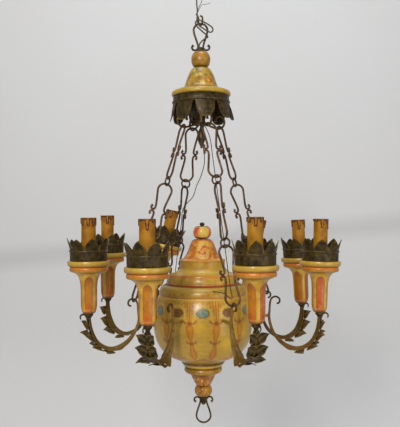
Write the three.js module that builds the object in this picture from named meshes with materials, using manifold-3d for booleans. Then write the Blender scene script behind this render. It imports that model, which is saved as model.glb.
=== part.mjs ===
// A painted wooden chandelier: a turned canopy hung from an iron lyre loop, four wrought chains,
// and a turned urn that carries eight leaf-shaped iron arms with wooden cups, sheet crowns and candles.
// Millimetres, +Z up. The origin is the inside of the top loop's crown, where the chandelier hangs.
import * as THREE from 'three';
import { mergeVertices } from 'three/addons/utils/BufferGeometryUtils.js';
import Module from 'manifold-3d';

const wasm = await Module();
wasm.setup();

// Clearances between pieces that touch
const seatGap = 0.3;
const linkGap = 0.4;
const eyeGap = 0.8;
const boreGap = 0.3;
const weld = 1;
const scrollTaper = 0.6;
const scrollSweep = 240;
const ringTurn = Math.PI / 4;

// Top loop, its rod and the open ring that it hangs on
const topLoop = {
  wire: 2.3, height: 59, crownRadius: 15.5, neckRadius: 5.6, scrollRadius: 8,
  footRadius: 8, footHeight: 2, footRise: 11,
};
const canopyRodRadius = 4;
const hangingRing = { wire: 2, width: 17, height: 22, tail: 13, turn: -57 };

// Canopy: ball, bell and sheet skirt
const canopyBall = { radius: 21.1, neck: 11.5, height: 33.7 };
const bell = {
  topRadius: 15.5, domeRadius: 33.5, waistRadius: 39.5, rimRadius: 64.7, domeHeight: 31, height: 64.7,
  rimHeight: 8,
};
const skirt = {
  bandRadius: 61.8, bandHeight: 13, flare: 6, petalLength: 37, petals: 8, sheet: 1.5, turn: 8, rib: 1.2,
};

// Cross of four hooks with the boss and the drop below it
const hook = {
  wire: 2.4, circle: 42, boss: 11, bossRadius: 9, dip: 12, bend: 17, curl: 7.5, belowSkirtPlate: 68.3,
};
const drop = { radius: 9, length: 52, neck: 2.6, widestAt: 26 };

// Chains: three double links and two rings each
const link = { wire: 2.3, length: 128.6, crownRadius: 16, pinch: 10, scrollRadius: 5.6 };
const ring = { wire: 1.9, radius: 9.7 };

// Urn, from its rim
const urn = {
  rimRadius: 80, shoulderRadius: 95, bellyRadius: 107, heelRadius: 82, footRadius: 47,
  shoulderDrop: 14, stepDrop: 30, bellyDrop: 78, bellyHeight: 24, heelDrop: 152, height: 169, wall: 12,
};
const lid = {
  bandHeight: 21, ogeeRadius: 55, ogeeHeight: 10, drumRadius: 49.5, drumHeight: 22, bellRadius: 43,
  bellHeight: 45, shoulderRadius: 25, neckRadius: 16.5, spigot: 3,
};
const lidBall = { radius: 19.8, height: 27.5, neck: 10 };
const knob = { radius: 5.2, height: 7 };
const rodRadius = 4;
const base = {
  topRadius: 43.5, beadRadius: 41, mouldHeight: 26, bellRadius: 27, throatRadius: 16, height: 52,
};
const baseBall = { radius: 19.2, neck: 10.5, height: 24 };
const pullLoop = {
  wire: 2, height: 56, crownRadius: 15.8, neckRadius: 6.4, scrollRadius: 8, studHeight: 20,
};

// Arms: a forged stem with a leaf along its outer half, seen in the plane through the axis
const arms = 8;
const cupCircle = 252;
const eyeCircle = 158;
const eyeBelowRim = 30.5;
const cupSeatBelowRim = 52;
const armStem = {
  top: 2.2, inner: 3.6, belly: 5.3, outer: 4.4, bottomBelowRim: 129, bottomCircle: 207, innerCircle: 146,
};
const curl = { inner: 4.5, outer: 13, outwards: 4, from: 80 };
const leaf = {
  width: 42, sheet: 1.6, lobes: 4, tip: 15, tipWire: 1.6, start: 0.71, end: 0.96, flare: 1.2, curl: 0.25,
};
const tail = { radius: 3, belowRim: 66, inside: 8 };

// How single arms depart from an even ring: turned and their cups leaning in degrees, raised in millimetres
const turns = { 2: 8.5, 4: -4, 5: 5, 6: -4.3, 8: -1.3 };
const leans = { 2: 1.5, 3: -2, 4: 11, 5: 12.5 };
const rises = { 1: 1, 2: -3.5, 3: -5, 5: 26, 6: 8.5, 7: 2.5, 8: -1 };
const bendRises = { 2: -5, 3: -5, 6: 4, 7: 3 };

// Cup, crown, lampholder and candle sleeve on each arm
const cup = {
  lipRadius: 43, lipHeight: 11, stripeRadius: 39, stripeHeight: 12, flareRadius: 23.5, bodyRadius: 16.6,
  height: 107.5, footRadius: 11, sides: 6, facet: 0.05,
};
const collar = { radius: 7, height: 7 };
const crown = {
  radius: 37.9, bandHeight: 21.5, petalHeight: 22, flare: 4.5, petals: 8, sheet: 1.4, rib: 1.2,
};
const nippleRadius = 5;
const lampholder = { radius: 11.7, height: 70 };
const candle = { radius: 14.8, wall: 2.2, height: 86 };

// Electric wires
const feedWireRadius = 0.9;
const wireHoleRadius = 3;
const flexRadius = 1.6;
const flexHole = { x: -3, y: -9, depth: 6, radius: 2.1 };

// Heights that follow from the sizes above
const ballTop = -(topLoop.height + topLoop.footHeight);
const bellTop = ballTop - canopyBall.height - seatGap;
const bellBottom = bellTop - bell.height;
const skirtTop = bellBottom - seatGap;
const hookBottom = skirtTop - hook.belowSkirtPlate;
const bossTop = hookBottom + hook.dip + hook.boss / 2;
const socketFloor = bossTop - hook.boss + 2;
const pivot = new THREE.Vector2(hook.circle, hookBottom + hook.wire + link.wire + linkGap);
const linkPitch = link.length - 2 * link.wire;
const ringHang = link.wire + ring.wire + linkGap;
const ringWeld = link.wire + ring.wire - weld;
const chainLength = 3 * linkPitch + 2 * (2 * ring.radius - ringHang - ringWeld);
const chainLean = Math.asin((eyeCircle - hook.circle) / chainLength);
const eye = new THREE.Vector2(eyeCircle, pivot.y - chainLength * Math.cos(chainLean));
const rimTop = eye.y + eyeBelowRim;
const cupBottom = rimTop - cupSeatBelowRim;
const lidTop = rimTop + seatGap + lid.bandHeight + lid.ogeeHeight + lid.drumHeight + lid.bellHeight;
const lidBallTop = lidTop + seatGap + lidBall.height;
const urnBottom = rimTop - urn.height;
const baseTop = urnBottom - seatGap;
const baseBottom = baseTop - base.height;
const baseBallBottom = baseBottom - seatGap - baseBall.height;

// Finishes
const creamPaint = new THREE.MeshStandardMaterial({ color: 0xb99a52, roughness: 0.45 });
const orangePaint = new THREE.MeshStandardMaterial({ color: 0xc07a35, roughness: 0.45 });
const darkIron = new THREE.MeshStandardMaterial({ color: 0x33301e, roughness: 0.6, metalness: 0.7 });
const leafIron = new THREE.MeshStandardMaterial({ color: 0x584423, roughness: 0.55, metalness: 0.6 });
const rustIron = new THREE.MeshStandardMaterial({ color: 0x5a4030, roughness: 0.7, metalness: 0.6 });
const ochreCard = new THREE.MeshStandardMaterial({ color: 0xa9781e, roughness: 0.7 });
const darkFlex = new THREE.MeshStandardMaterial({ color: 0x2b241d, roughness: 0.8 });

const radians = THREE.MathUtils.degToRad;
const chandelier = new THREE.Group();

// Solids: merging, cutting and placing

function signedVolume(positions, index) {
  const [a, b, c] = [new THREE.Vector3(), new THREE.Vector3(), new THREE.Vector3()];
  let volume = 0;
  for (let i = 0; i < index.length; i += 3) {
    a.fromBufferAttribute(positions, index[i]);
    b.fromBufferAttribute(positions, index[i + 1]);
    c.fromBufferAttribute(positions, index[i + 2]);
    volume += a.dot(b.cross(c)) / 6;
  }
  return volume;
}

// A closed three.js geometry as a solid, with its faces turned outwards
function solid(geometry) {
  const bare = geometry.clone();
  bare.deleteAttribute('normal');
  bare.deleteAttribute('uv');
  const merged = mergeVertices(bare, 1e-3);
  const index = [];
  const source = merged.index.array;
  for (let i = 0; i < source.length; i += 3) {
    const [a, b, c] = [source[i], source[i + 1], source[i + 2]];
    if (a !== b && b !== c && c !== a) index.push(a, b, c);
  }
  if (signedVolume(merged.attributes.position, index) < 0) index.reverse();
  const vertProperties = new Float32Array(merged.attributes.position.array);
  const triVerts = new Uint32Array(index);
  return new wasm.Manifold(new wasm.Mesh({ numProp: 3, vertProperties, triVerts }));
}

function geometryOf(shape) {
  const mesh = shape.getMesh();
  const geometry = new THREE.BufferGeometry();
  geometry.setAttribute('position', new THREE.BufferAttribute(new Float32Array(mesh.vertProperties), 3));
  geometry.setIndex(Array.from(mesh.triVerts));
  const flat = geometry.toNonIndexed();
  flat.computeVertexNormals();
  return flat;
}

function join(first, ...others) {
  return others.reduce((whole, other) => whole.add(solid(other)), solid(first));
}

function add(name, shape, material, parent = chandelier) {
  const mesh = new THREE.Mesh(geometryOf(shape.isBufferGeometry ? solid(shape) : shape), material);
  mesh.name = name;
  parent.add(mesh);
  return mesh;
}

// A turned piece: a closed outline of [radius, height] pairs spun round the Z axis
function turned(outline, segments) {
  const closed = outline[0][0] === 0 ? outline : [...outline, outline[0]];
  const points = closed.map(([radius, height]) => new THREE.Vector2(radius, height));
  return new THREE.LatheGeometry(points, segments).rotateX(Math.PI / 2);
}

function cylinder(radius, bottom, top, segments = 12) {
  return turned([[0, bottom], [radius, bottom], [radius, top], [0, top]], segments);
}

// Points of an arc or spiral in the plane, with angles in degrees
function arc(x, y, startRadius, endRadius, startAngle, endAngle, steps) {
  return Array.from({ length: steps + 1 }, (_, i) => {
    const share = i / steps;
    const radius = startRadius + (endRadius - startRadius) * share;
    const angle = radians(startAngle + (endAngle - startAngle) * share);
    return [x + radius * Math.cos(angle), y + radius * Math.sin(angle)];
  });
}

// A smooth route whose steps are spread evenly over its points, so that tight scrolls get as many as long legs
class WireRoute extends THREE.CatmullRomCurve3 {
  getPointAt(share, target) {
    return this.getPoint(share, target);
  }

  getTangentAt(share, target) {
    return this.getTangent(share, target);
  }
}

// A round wire along points in space, with a number of steps between two points
function wire(points, radius, sides, stepsBetween = 1) {
  const rim = arc(0, 0, radius, radius, 0, 360, sides).slice(1);
  const section = new THREE.Shape(rim.map(([x, y]) => new THREE.Vector2(x, y)));
  const extrudePath = new WireRoute(points, false, 'centripetal');
  const steps = (points.length - 1) * stepsBetween;
  return new THREE.ExtrudeGeometry(section, { steps, extrudePath, bevelEnabled: false });
}

function upright(points) {
  return points.map(([x, z]) => new THREE.Vector3(x, 0, z));
}

// A closed skin over rings of points, each ring with as many points as the next
function loft(rings) {
  const count = rings[0].length;
  const positions = rings.flat().flatMap((point) => [point.x, point.y, point.z]);
  const index = [];
  for (let i = 0; i < rings.length - 1; i++) {
    for (let j = 0; j < count; j++) {
      const [a, b] = [i * count + j, i * count + ((j + 1) % count)];
      index.push(a, a + count, b, b, a + count, b + count);
    }
  }
  const last = (rings.length - 1) * count;
  for (let j = 1; j < count - 1; j++) {
    index.push(0, j, j + 1);
    index.push(last, last + j + 1, last + j);
  }
  const geometry = new THREE.BufferGeometry();
  geometry.setAttribute('position', new THREE.Float32BufferAttribute(positions, 3));
  geometry.setIndex(index);
  return geometry;
}

// A sheet ring whose free edge is cut into petals; section(share) gives the outline at that share of a petal
function petalled(petals, stepsPerPetal, section) {
  const stations = petals * stepsPerPetal;
  const positions = [];
  const index = [];
  let count = 0;
  for (let i = 0; i < stations; i++) {
    const angle = (i / stations) * 2 * Math.PI;
    const outline = section((i % stepsPerPetal) / stepsPerPetal);
    count = outline.length;
    outline.forEach(([radius, height]) => {
      positions.push(radius * Math.cos(angle), radius * Math.sin(angle), height);
    });
  }
  for (let i = 0; i < stations; i++) {
    const next = (i + 1) % stations;
    for (let j = 0; j < count; j++) {
      const across = (j + 1) % count;
      index.push(i * count + j, next * count + j, i * count + across);
      index.push(i * count + across, next * count + j, next * count + across);
    }
  }
  const geometry = new THREE.BufferGeometry();
  geometry.setAttribute('position', new THREE.Float32BufferAttribute(positions, 3));
  geometry.setIndex(index);
  return geometry;
}

// How far a petal reaches at a share of its width: nothing at its sides, all at its middle
function petalReach(share) {
  return Math.pow(Math.sin(Math.PI * share), 0.6);
}

// One side of a lyre: from the crown round the widest part, in to the neck and out into a scroll
function lyreSide(height, crownRadius, neck, scrollRadius) {
  const crownArc = arc(0, -crownRadius, crownRadius, crownRadius, 90, -25, 3);
  const lowestRadius = scrollRadius * (1 - ((1 - scrollTaper) * 90) / scrollSweep);
  const scroll = arc(
    neck + scrollRadius, lowestRadius - height, scrollRadius, scrollRadius * scrollTaper,
    180, 180 + scrollSweep, 5,
  );
  return [...crownArc, ...scroll];
}

function lyre(shape) {
  const side = lyreSide(shape.height, shape.crownRadius, shape.neckRadius, shape.scrollRadius);
  const mirrored = side.slice(1).reverse().map(([x, z]) => [-x, z]);
  return wire(upright([...mirrored, ...side]), shape.wire, 6);
}

// Canopy

function makeTopLoop() {
  const loop = lyre(topLoop).translate(0, 0, topLoop.wire);
  const foot = turned([
    [0, ballTop + seatGap], [topLoop.footRadius, ballTop + seatGap],
    [topLoop.footRadius, ballTop + topLoop.footRise - 2], [0, ballTop + topLoop.footRise],
  ], 12);
  const rod = cylinder(canopyRodRadius, socketFloor + seatGap, ballTop + topLoop.footHeight);
  add('top_loop', join(loop, foot, rod), darkIron);
}

function makeHangingRing() {
  const [halfWidth, height] = [hangingRing.width / 2, hangingRing.height];
  const bottom = -hangingRing.wire - linkGap - seatGap;
  const middle = bottom + height / 2;
  const points = [
    [-halfWidth - hangingRing.tail * 0.6, middle + height / 2 + hangingRing.tail * 0.7],
    [-halfWidth * 0.9, middle + height * 0.35],
    [-halfWidth, middle - height * 0.05],
    [-halfWidth * 0.55, bottom + height * 0.1],
    [0, bottom],
    [halfWidth * 0.6, bottom + height * 0.12],
    [halfWidth, middle],
    [halfWidth * 0.7, middle + height * 0.38],
    [0, bottom + height],
  ];
  const mesh = add('hanging_ring', wire(upright(points), hangingRing.wire, 6, 2), darkIron);
  mesh.rotation.z = radians(hangingRing.turn);
}

function ballOutline(ball, bottom, bore) {
  const middle = bottom + ball.height / 2;
  const side = [-90, -60, -30, 0, 30, 60, 90].map((angle) => {
    const swell = ball.radius - ball.neck;
    const rise = (ball.height / 2) * Math.sin(radians(angle));
    return [ball.neck + swell * Math.cos(radians(angle)), middle + rise];
  });
  return [[bore, bottom], ...side, [bore, bottom + ball.height]];
}

function makeCanopyBall() {
  const outline = ballOutline(canopyBall, ballTop - canopyBall.height, canopyRodRadius + boreGap);
  const hole = cylinder(flexHole.radius, ballTop - flexHole.depth, ballTop + 1, 8)
    .translate(flexHole.x, flexHole.y, 0);
  add('canopy_ball', solid(turned(outline, 16)).subtract(solid(hole)), creamPaint);
}

function makeCanopyBell() {
  const bore = canopyRodRadius + boreGap;
  const waist = bellBottom + bell.rimHeight + 4;
  add('canopy_bell', turned([
    [bore, bellTop], [bell.topRadius, bellTop], [bell.topRadius + 7, bellTop - 3],
    [bell.domeRadius - 5.5, bellTop - 12], [bell.domeRadius, bellTop - bell.domeHeight],
    [bell.waistRadius, waist + 3], [bell.waistRadius + 9, waist - 2],
    [bell.rimRadius - 2, bellBottom + bell.rimHeight - 1], [bell.rimRadius, bellBottom + bell.rimHeight / 2],
    [bell.rimRadius - 2, bellBottom], [bore, bellBottom],
  ], 18), creamPaint);
}

function makeSkirt() {
  const bore = canopyRodRadius + boreGap;
  const bandBottom = skirtTop - skirt.bandHeight;
  const inner = skirt.bandRadius - skirt.sheet;
  const mesh = add('canopy_skirt', petalled(skirt.petals, 4, (share) => {
    const reach = petalReach(share);
    const edge = bandBottom - 3 - skirt.petalLength * reach;
    const flare = skirt.flare * reach;
    return [
      [bore, skirtTop], [skirt.bandRadius, skirtTop], [skirt.bandRadius + skirt.rib, bandBottom],
      [skirt.bandRadius + flare, edge], [inner + flare, edge], [inner, bandBottom],
      [inner, skirtTop - skirt.sheet], [bore, skirtTop - skirt.sheet],
    ];
  }), darkIron);
  mesh.rotation.z = radians(skirt.turn - 90 - 180 / skirt.petals);
}

// The chain positions follow the arms that carry an eye
function armAngle(number) {
  const even = (number - 0.5) * (360 / arms);
  return radians(even + (turns[number] ?? 0) - 90);
}

const chainArms = Array.from({ length: arms / 2 }, (_, i) => 2 * i + 1);

function makeHookCross() {
  const bossBottom = bossTop - hook.boss;
  const dropTop = bossBottom;
  const boss = turned([
    [0, bossBottom], [hook.bossRadius, bossBottom], [hook.bossRadius, bossTop], [0, bossTop],
  ], 12);
  const pendant = turned([
    [0, dropTop - drop.length], [drop.neck, dropTop - drop.length + 3],
    [drop.radius * 0.75, dropTop - drop.widestAt - 10], [drop.radius, dropTop - drop.widestAt],
    [drop.radius * 0.7, dropTop - drop.widestAt / 2], [drop.neck, dropTop - 4],
    [drop.neck * 1.6, dropTop + weld], [0, dropTop + weld],
  ], 8);
  const route = [
    [hook.bossRadius - 3, hookBottom + hook.dip], [hook.circle * 0.55, hookBottom + hook.dip * 0.35],
    ...arc(hook.circle, hookBottom + hook.bend, hook.bend, hook.curl, -90, 190, 8),
  ];
  const arm = wire(upright(route), hook.wire, 5);
  const turns = chainArms.map((number) => arm.clone().rotateZ(armAngle(number)));
  const socket = cylinder(canopyRodRadius + boreGap, socketFloor, bossTop + 1);
  add('hook_cross', join(boss, pendant, ...turns).subtract(solid(socket)), darkIron);
}

// Chains

function omega() {
  const height = linkPitch / 2 - link.wire + weld / 2;
  const side = lyreSide(height, link.crownRadius, link.pinch, link.scrollRadius);
  const mirrored = side.slice(1).reverse().map(([x, z]) => [-x, z]);
  return wire(upright([...mirrored, ...side]), link.wire, 4);
}

function doubleLink() {
  const upper = omega();
  const lower = omega().rotateX(Math.PI).translate(0, 0, -linkPitch);
  return join(upper, lower);
}

function makeChain(number, armNumber) {
  const chain = new THREE.Group();
  const angle = armAngle(armNumber);
  chain.position.set(pivot.x * Math.cos(angle), pivot.x * Math.sin(angle), pivot.y);
  chain.rotation.set(0, -chainLean, angle, 'ZYX');
  chandelier.add(chain);
  const step = linkPitch + 2 * ring.radius - ringHang - ringWeld;
  const ringShape = new THREE.TorusGeometry(ring.radius, ring.wire, 4, 9)
    .rotateX(Math.PI / 2).rotateZ(ringTurn);
  const topRing = ringShape.clone().translate(0, 0, ring.radius - ringWeld);
  const lowRing = ringShape.clone().translate(0, 0, -linkPitch - ring.radius + ringWeld);
  const middleShape = doubleLink().add(solid(topRing)).add(solid(lowRing));
  const top = add(`chain_${number}_top_link`, doubleLink(), rustIron, chain);
  const middle = add(`chain_${number}_middle_link`, middleShape, rustIron, chain);
  const bottom = add(`chain_${number}_bottom_link`, doubleLink(), rustIron, chain);
  top.rotation.z = Math.PI / 2;
  middle.position.z = -step;
  bottom.position.z = -2 * step;
  bottom.rotation.z = Math.PI / 2;
  return chain;
}

// Urn

function urnOutline() {
  const bore = rodRadius + boreGap;
  const outer = [
    [urn.rimRadius, rimTop], [urn.shoulderRadius, rimTop - urn.shoulderDrop],
    [urn.shoulderRadius + 1, rimTop - urn.stepDrop], [urn.bellyRadius - 2, rimTop - urn.stepDrop - 20],
    [urn.bellyRadius, rimTop - urn.bellyDrop], [urn.bellyRadius, rimTop - urn.bellyDrop - urn.bellyHeight],
    [urn.heelRadius + 12, rimTop - urn.heelDrop + 14],
    [urn.heelRadius, rimTop - urn.heelDrop], [urn.footRadius, urnBottom],
  ];
  const inner = [
    [bore, urnBottom], [bore, urnBottom + urn.wall], [urn.footRadius - urn.wall, urnBottom + urn.wall],
    [urn.heelRadius - urn.wall - 3, rimTop - urn.heelDrop + 5],
    [urn.bellyRadius - urn.wall, rimTop - urn.bellyDrop - urn.bellyHeight],
    [urn.bellyRadius - urn.wall, rimTop - urn.bellyDrop], [urn.rimRadius - urn.wall, rimTop - urn.shoulderDrop],
    [urn.rimRadius - urn.wall, rimTop],
  ];
  return [...inner, ...outer];
}

function makeUrn() {
  let body = solid(turned(urnOutline(), 16));
  for (let number = 1; number <= arms; number++) {
    const hole = cylinder(tail.radius + boreGap, 0, urn.bellyRadius + 20, 6)
      .rotateY(Math.PI / 2).translate(0, 0, rimTop - tail.belowRim).rotateZ(armAngle(number));
    body = body.subtract(solid(hole));
  }
  [...frontWire.holes, ...backWire.holes].forEach((hole) => {
    body = body.subtract(solid(hole));
  });
  add('urn_body', body, creamPaint);
}

function makeLid() {
  const bore = rodRadius + boreGap;
  const bottom = rimTop + seatGap;
  const ogeeBottom = bottom + lid.bandHeight;
  const drumBottom = ogeeBottom + lid.ogeeHeight;
  const bellBase = drumBottom + lid.drumHeight;
  const spigotRadius = urn.rimRadius - urn.wall - seatGap;
  add('urn_lid', turned([
    [bore, bottom - lid.spigot], [spigotRadius, bottom - lid.spigot], [spigotRadius, bottom],
    [urn.rimRadius, bottom], [urn.rimRadius - 1.5, bottom + 6], [urn.rimRadius - 6, ogeeBottom],
    [lid.ogeeRadius + 6, ogeeBottom + 3], [lid.ogeeRadius, drumBottom], [lid.drumRadius, drumBottom + 3],
    [lid.drumRadius, bellBase - 1], [lid.bellRadius + 3, bellBase], [lid.bellRadius - 5, bellBase + 8],
    [lid.shoulderRadius + 5, bellBase + 20], [lid.shoulderRadius, lidTop - 5], [lid.neckRadius, lidTop],
    [bore, lidTop],
  ], 16), creamPaint);
}

function makeLidBall() {
  add('lid_ball', turned(ballOutline(lidBall, lidTop + seatGap, rodRadius + boreGap), 16), creamPaint);
}

function makeTieRod() {
  const knobBottom = lidBallTop + seatGap;
  const rodBottom = baseBallBottom - seatGap;
  add('tie_rod', join(
    cylinder(rodRadius, rodBottom, knobBottom + 1),
    turned([
      [0, knobBottom], [knob.radius, knobBottom], [knob.radius + 0.8, knobBottom + knob.height * 0.4],
      [knob.radius * 0.6, knobBottom + knob.height], [0, knobBottom + knob.height + 1],
    ], 12),
  ), darkIron);
}

function makeUrnBase() {
  const bore = rodRadius + boreGap;
  const bellTopZ = baseTop - base.mouldHeight;
  add('urn_base', turned([
    [bore, baseTop], [base.topRadius + 4, baseTop], [base.topRadius, baseTop - 6],
    [base.beadRadius - 2, baseTop - 10], [base.beadRadius, baseTop - 14], [base.beadRadius, baseTop - 21],
    [base.bellRadius + 5, bellTopZ], [base.bellRadius, bellTopZ - 3], [base.bellRadius - 4, bellTopZ - 12],
    [base.throatRadius + 2, baseBottom + 5], [base.throatRadius, baseBottom], [bore, baseBottom],
  ], 16), creamPaint);
}

function makeBaseBall() {
  add('base_ball', turned(ballOutline(baseBall, baseBallBottom, rodRadius + boreGap), 16), creamPaint);
}

// The pull loop swivels on its stud, under the end of the tie rod
function makePullLoop() {
  const top = baseBallBottom - 2 * seatGap;
  const loop = lyre(pullLoop).rotateX(Math.PI).translate(0, 0, top - pullLoop.height - pullLoop.wire);
  const studRadius = pullLoop.neckRadius - pullLoop.wire + weld;
  const stud = turned([
    [0, top - pullLoop.studHeight], [studRadius * 0.7, top - pullLoop.studHeight + 2],
    [studRadius, top - pullLoop.studHeight * 0.6], [studRadius, top - 3], [pullLoop.neckRadius + 1, top],
    [0, top],
  ], 12);
  add('pull_loop', join(loop, stud), darkIron);
}

// Arms

// Centre line of the stem as [distance from the axis, height], from the chain's eye to the cup
function stemRoute(number) {
  const curlTop = eye.y + link.wire + armStem.top + eyeGap;
  const sweep = curl.from + 180;
  const radiusOnTop = curl.inner + ((curl.outer - curl.inner) * (curl.from + 90)) / sweep;
  const curlCentre = [eye.x + curl.outwards, curlTop - radiusOnTop];
  const bottom = rimTop - armStem.bottomBelowRim + (bendRises[number] ?? 0);
  const seat = cupBottom + (rises[number] ?? 0) - collar.height;
  return [
    ...arc(...curlCentre, curl.inner, curl.outer, -curl.from, 180, 7),
    [armStem.innerCircle + 1, curlTop - 30], [armStem.innerCircle, curlTop - 45],
    [armStem.innerCircle + 9, bottom + 32], [armStem.innerCircle + 31, bottom + 9],
    [armStem.bottomCircle, bottom], [cupCircle - 19, bottom + 13], [cupCircle - 5, bottom + 38],
    [cupCircle, seat - 8], [cupCircle, seat],
  ];
}

// Half the stem's thickness along its route: thin at the eye, strongest under the bend
function stemRadius(share) {
  const stops = [
    [0, armStem.top], [0.42, armStem.top], [0.6, armStem.inner], [0.75, armStem.belly], [1, armStem.outer],
  ];
  const next = stops.findIndex(([at]) => at >= Math.min(1, share));
  const [[fromAt, from], [toAt, to]] = [stops[Math.max(0, next - 1)], stops[next]];
  return toAt === fromAt ? to : THREE.MathUtils.mapLinear(share, fromAt, toAt, from, to);
}

// The stem and the leaf round its outer half: a ridge inside the bend, and two edges cut into pointed lobes
function makeStem(number) {
  const curve = new THREE.CatmullRomCurve3(upright(stemRoute(number)), false, 'centripetal');
  const lobeSteps = 3;
  const leafSteps = leaf.lobes * lobeSteps;
  const plain = Array.from({ length: 12 }, (_, i) => [(leaf.start * i) / 12, 0]);
  const leafy = Array.from({ length: leafSteps + 1 }, (_, i) => {
    const share = i / leafSteps;
    const envelope = Math.sin(Math.PI * Math.min(1, share * 0.75 + 0.22));
    const tooth = [0.35, 0.65, 1][i % lobeSteps];
    return [leaf.start + (leaf.end - leaf.start) * share, (leaf.width / 2) * envelope * tooth];
  });
  const rings = [...plain, ...leafy, [1, 0]].map(([share, reach]) => {
    const centre = curve.getPoint(share);
    const along = curve.getTangent(share);
    const out = new THREE.Vector3(along.z, 0, -along.x);
    const radius = stemRadius(share);
    const belly = share > 0.55 && share < leaf.start ? leaf.flare : 1;
    const half = Math.max(radius * belly, reach);
    const edge = radius * 0.3 + (half - radius) * leaf.curl;
    return [
      [0, -radius], [half, edge - leaf.sheet], [half, edge], [0, radius], [-half, edge],
      [-half, edge - leaf.sheet],
    ].map(([across, depth]) => centre.clone().addScaledVector(out, depth).setY(across));
  });
  return loft(rings);
}

// The leaf's own tip leaves the stem below the cup and curls outwards
function makeLeafTip(number) {
  const [x, z] = [cupCircle + armStem.outer, cupBottom + (rises[number] ?? 0) - collar.height - 12];
  const points = [
    [x - 3, z - 10], [x + 2, z], [x + leaf.tip * 0.55, z + 7], [x + leaf.tip, z + 4],
    [x + leaf.tip, z - 1],
  ];
  return wire(upright(points), leaf.tipWire, 4);
}

function makeArm(number) {
  const lean = leanMatrix(number);
  const nippleTop = cupBottom + cup.height + 2 * seatGap + crown.sheet;
  const column = turned([
    [0, cupBottom - collar.height - 3], [collar.radius - 2, cupBottom - collar.height - 3],
    [collar.radius, cupBottom - collar.height / 2], [collar.radius, cupBottom - seatGap],
    [nippleRadius, cupBottom - seatGap], [nippleRadius, nippleTop], [lampholder.radius, nippleTop],
    [lampholder.radius, nippleTop + lampholder.height], [0, nippleTop + lampholder.height],
  ], 8).applyMatrix4(lean);
  const wallTail = cylinder(tail.radius, urn.bellyRadius - urn.wall - tail.inside, armStem.innerCircle, 6)
    .rotateY(Math.PI / 2).translate(0, 0, rimTop - tail.belowRim);
  const shape = join(makeStem(number), makeLeafTip(number), wallTail, column);
  const mesh = add(`arm_${number}`, shape, leafIron);
  mesh.rotation.z = armAngle(number);
}

// The cup, crown and candle of an arm may sit higher or lower, and lean to the side about the cup's seat
function leanMatrix(number) {
  const lean = radians(leans[number] ?? 0);
  const angle = armAngle(number);
  const axis = new THREE.Vector3(Math.sin(angle), Math.cos(angle), 0);
  return new THREE.Matrix4().makeTranslation(cupCircle, 0, cupBottom + (rises[number] ?? 0))
    .multiply(new THREE.Matrix4().makeRotationAxis(axis, lean))
    .multiply(new THREE.Matrix4().makeTranslation(0, 0, -cupBottom));
}

function makeCup() {
  const bore = nippleRadius + boreGap;
  const top = cupBottom + cup.height;
  const body = [
    [bore, cupBottom], [cup.footRadius, cupBottom], [cup.bodyRadius, cupBottom + 7],
    [cup.bodyRadius, cupBottom + 50], [cup.bodyRadius + 2, top - 35],
    [cup.flareRadius, top - cup.lipHeight - cup.stripeHeight - 5],
    [cup.stripeRadius - 2, top - cup.lipHeight - 11], [cup.stripeRadius, top - cup.lipHeight - 5],
    [cup.stripeRadius - 1.5, top - cup.lipHeight - 1],
    [cup.lipRadius, top - cup.lipHeight + 2], [cup.lipRadius, top - 2], [cup.lipRadius - 2, top], [bore, top],
  ];
  const geometry = turned(body, 2 * cup.sides);
  const positions = geometry.attributes.position;
  for (let i = 0; i < positions.count; i++) {
    const [x, y, z] = [positions.getX(i), positions.getY(i), positions.getZ(i)];
    const onBody = z > cupBottom + 1 && z < top - 40 && Math.hypot(x, y) > cup.footRadius + 1;
    const corner = Math.cos(cup.sides * Math.atan2(y, x));
    const scale = onBody ? 1 + cup.facet * corner : 1;
    positions.setXY(i, x * scale, y * scale);
  }
  return geometry;
}

function makeCrown() {
  const bottom = cupBottom + cup.height + seatGap;
  const bandTop = bottom + crown.bandHeight;
  const inner = crown.radius - crown.sheet;
  const bore = nippleRadius + boreGap;
  return petalled(crown.petals, 2, (share) => {
    const reach = petalReach(share);
    const edge = bandTop + 2 + crown.petalHeight * reach;
    const flare = crown.flare * reach;
    return [
      [bore, bottom], [crown.radius, bottom], [crown.radius + crown.rib, bandTop - 1],
      [crown.radius + flare, edge], [inner + flare, edge], [inner, bottom + crown.sheet],
      [bore, bottom + crown.sheet],
    ];
  });
}

function makeCandle() {
  const bottom = cupBottom + cup.height + 2 * seatGap + crown.sheet;
  const top = bottom + candle.height;
  const inner = candle.radius - candle.wall;
  return turned([[inner, bottom], [candle.radius, bottom], [candle.radius, top], [inner, top]], 10);
}

// Wires that feed the lamps: each leaves the boss, runs down one chain and goes into the urn's shoulder

function chainPoint(armNumber, along) {
  const angle = armAngle(armNumber);
  const offset = link.wire + feedWireRadius + seatGap;
  const point = new THREE.Vector3(offset, -offset, -along);
  return point.applyEuler(new THREE.Euler(0, -chainLean, angle, 'ZYX'))
    .add(new THREE.Vector3(pivot.x * Math.cos(angle), pivot.x * Math.sin(angle), pivot.y));
}

function shoulderPoint(armNumber, distance, side) {
  const angle = armAngle(armNumber) + radians(side);
  const height = rimTop - urn.shoulderDrop * 0.5;
  return new THREE.Vector3(distance * Math.cos(angle), distance * Math.sin(angle), height);
}

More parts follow.
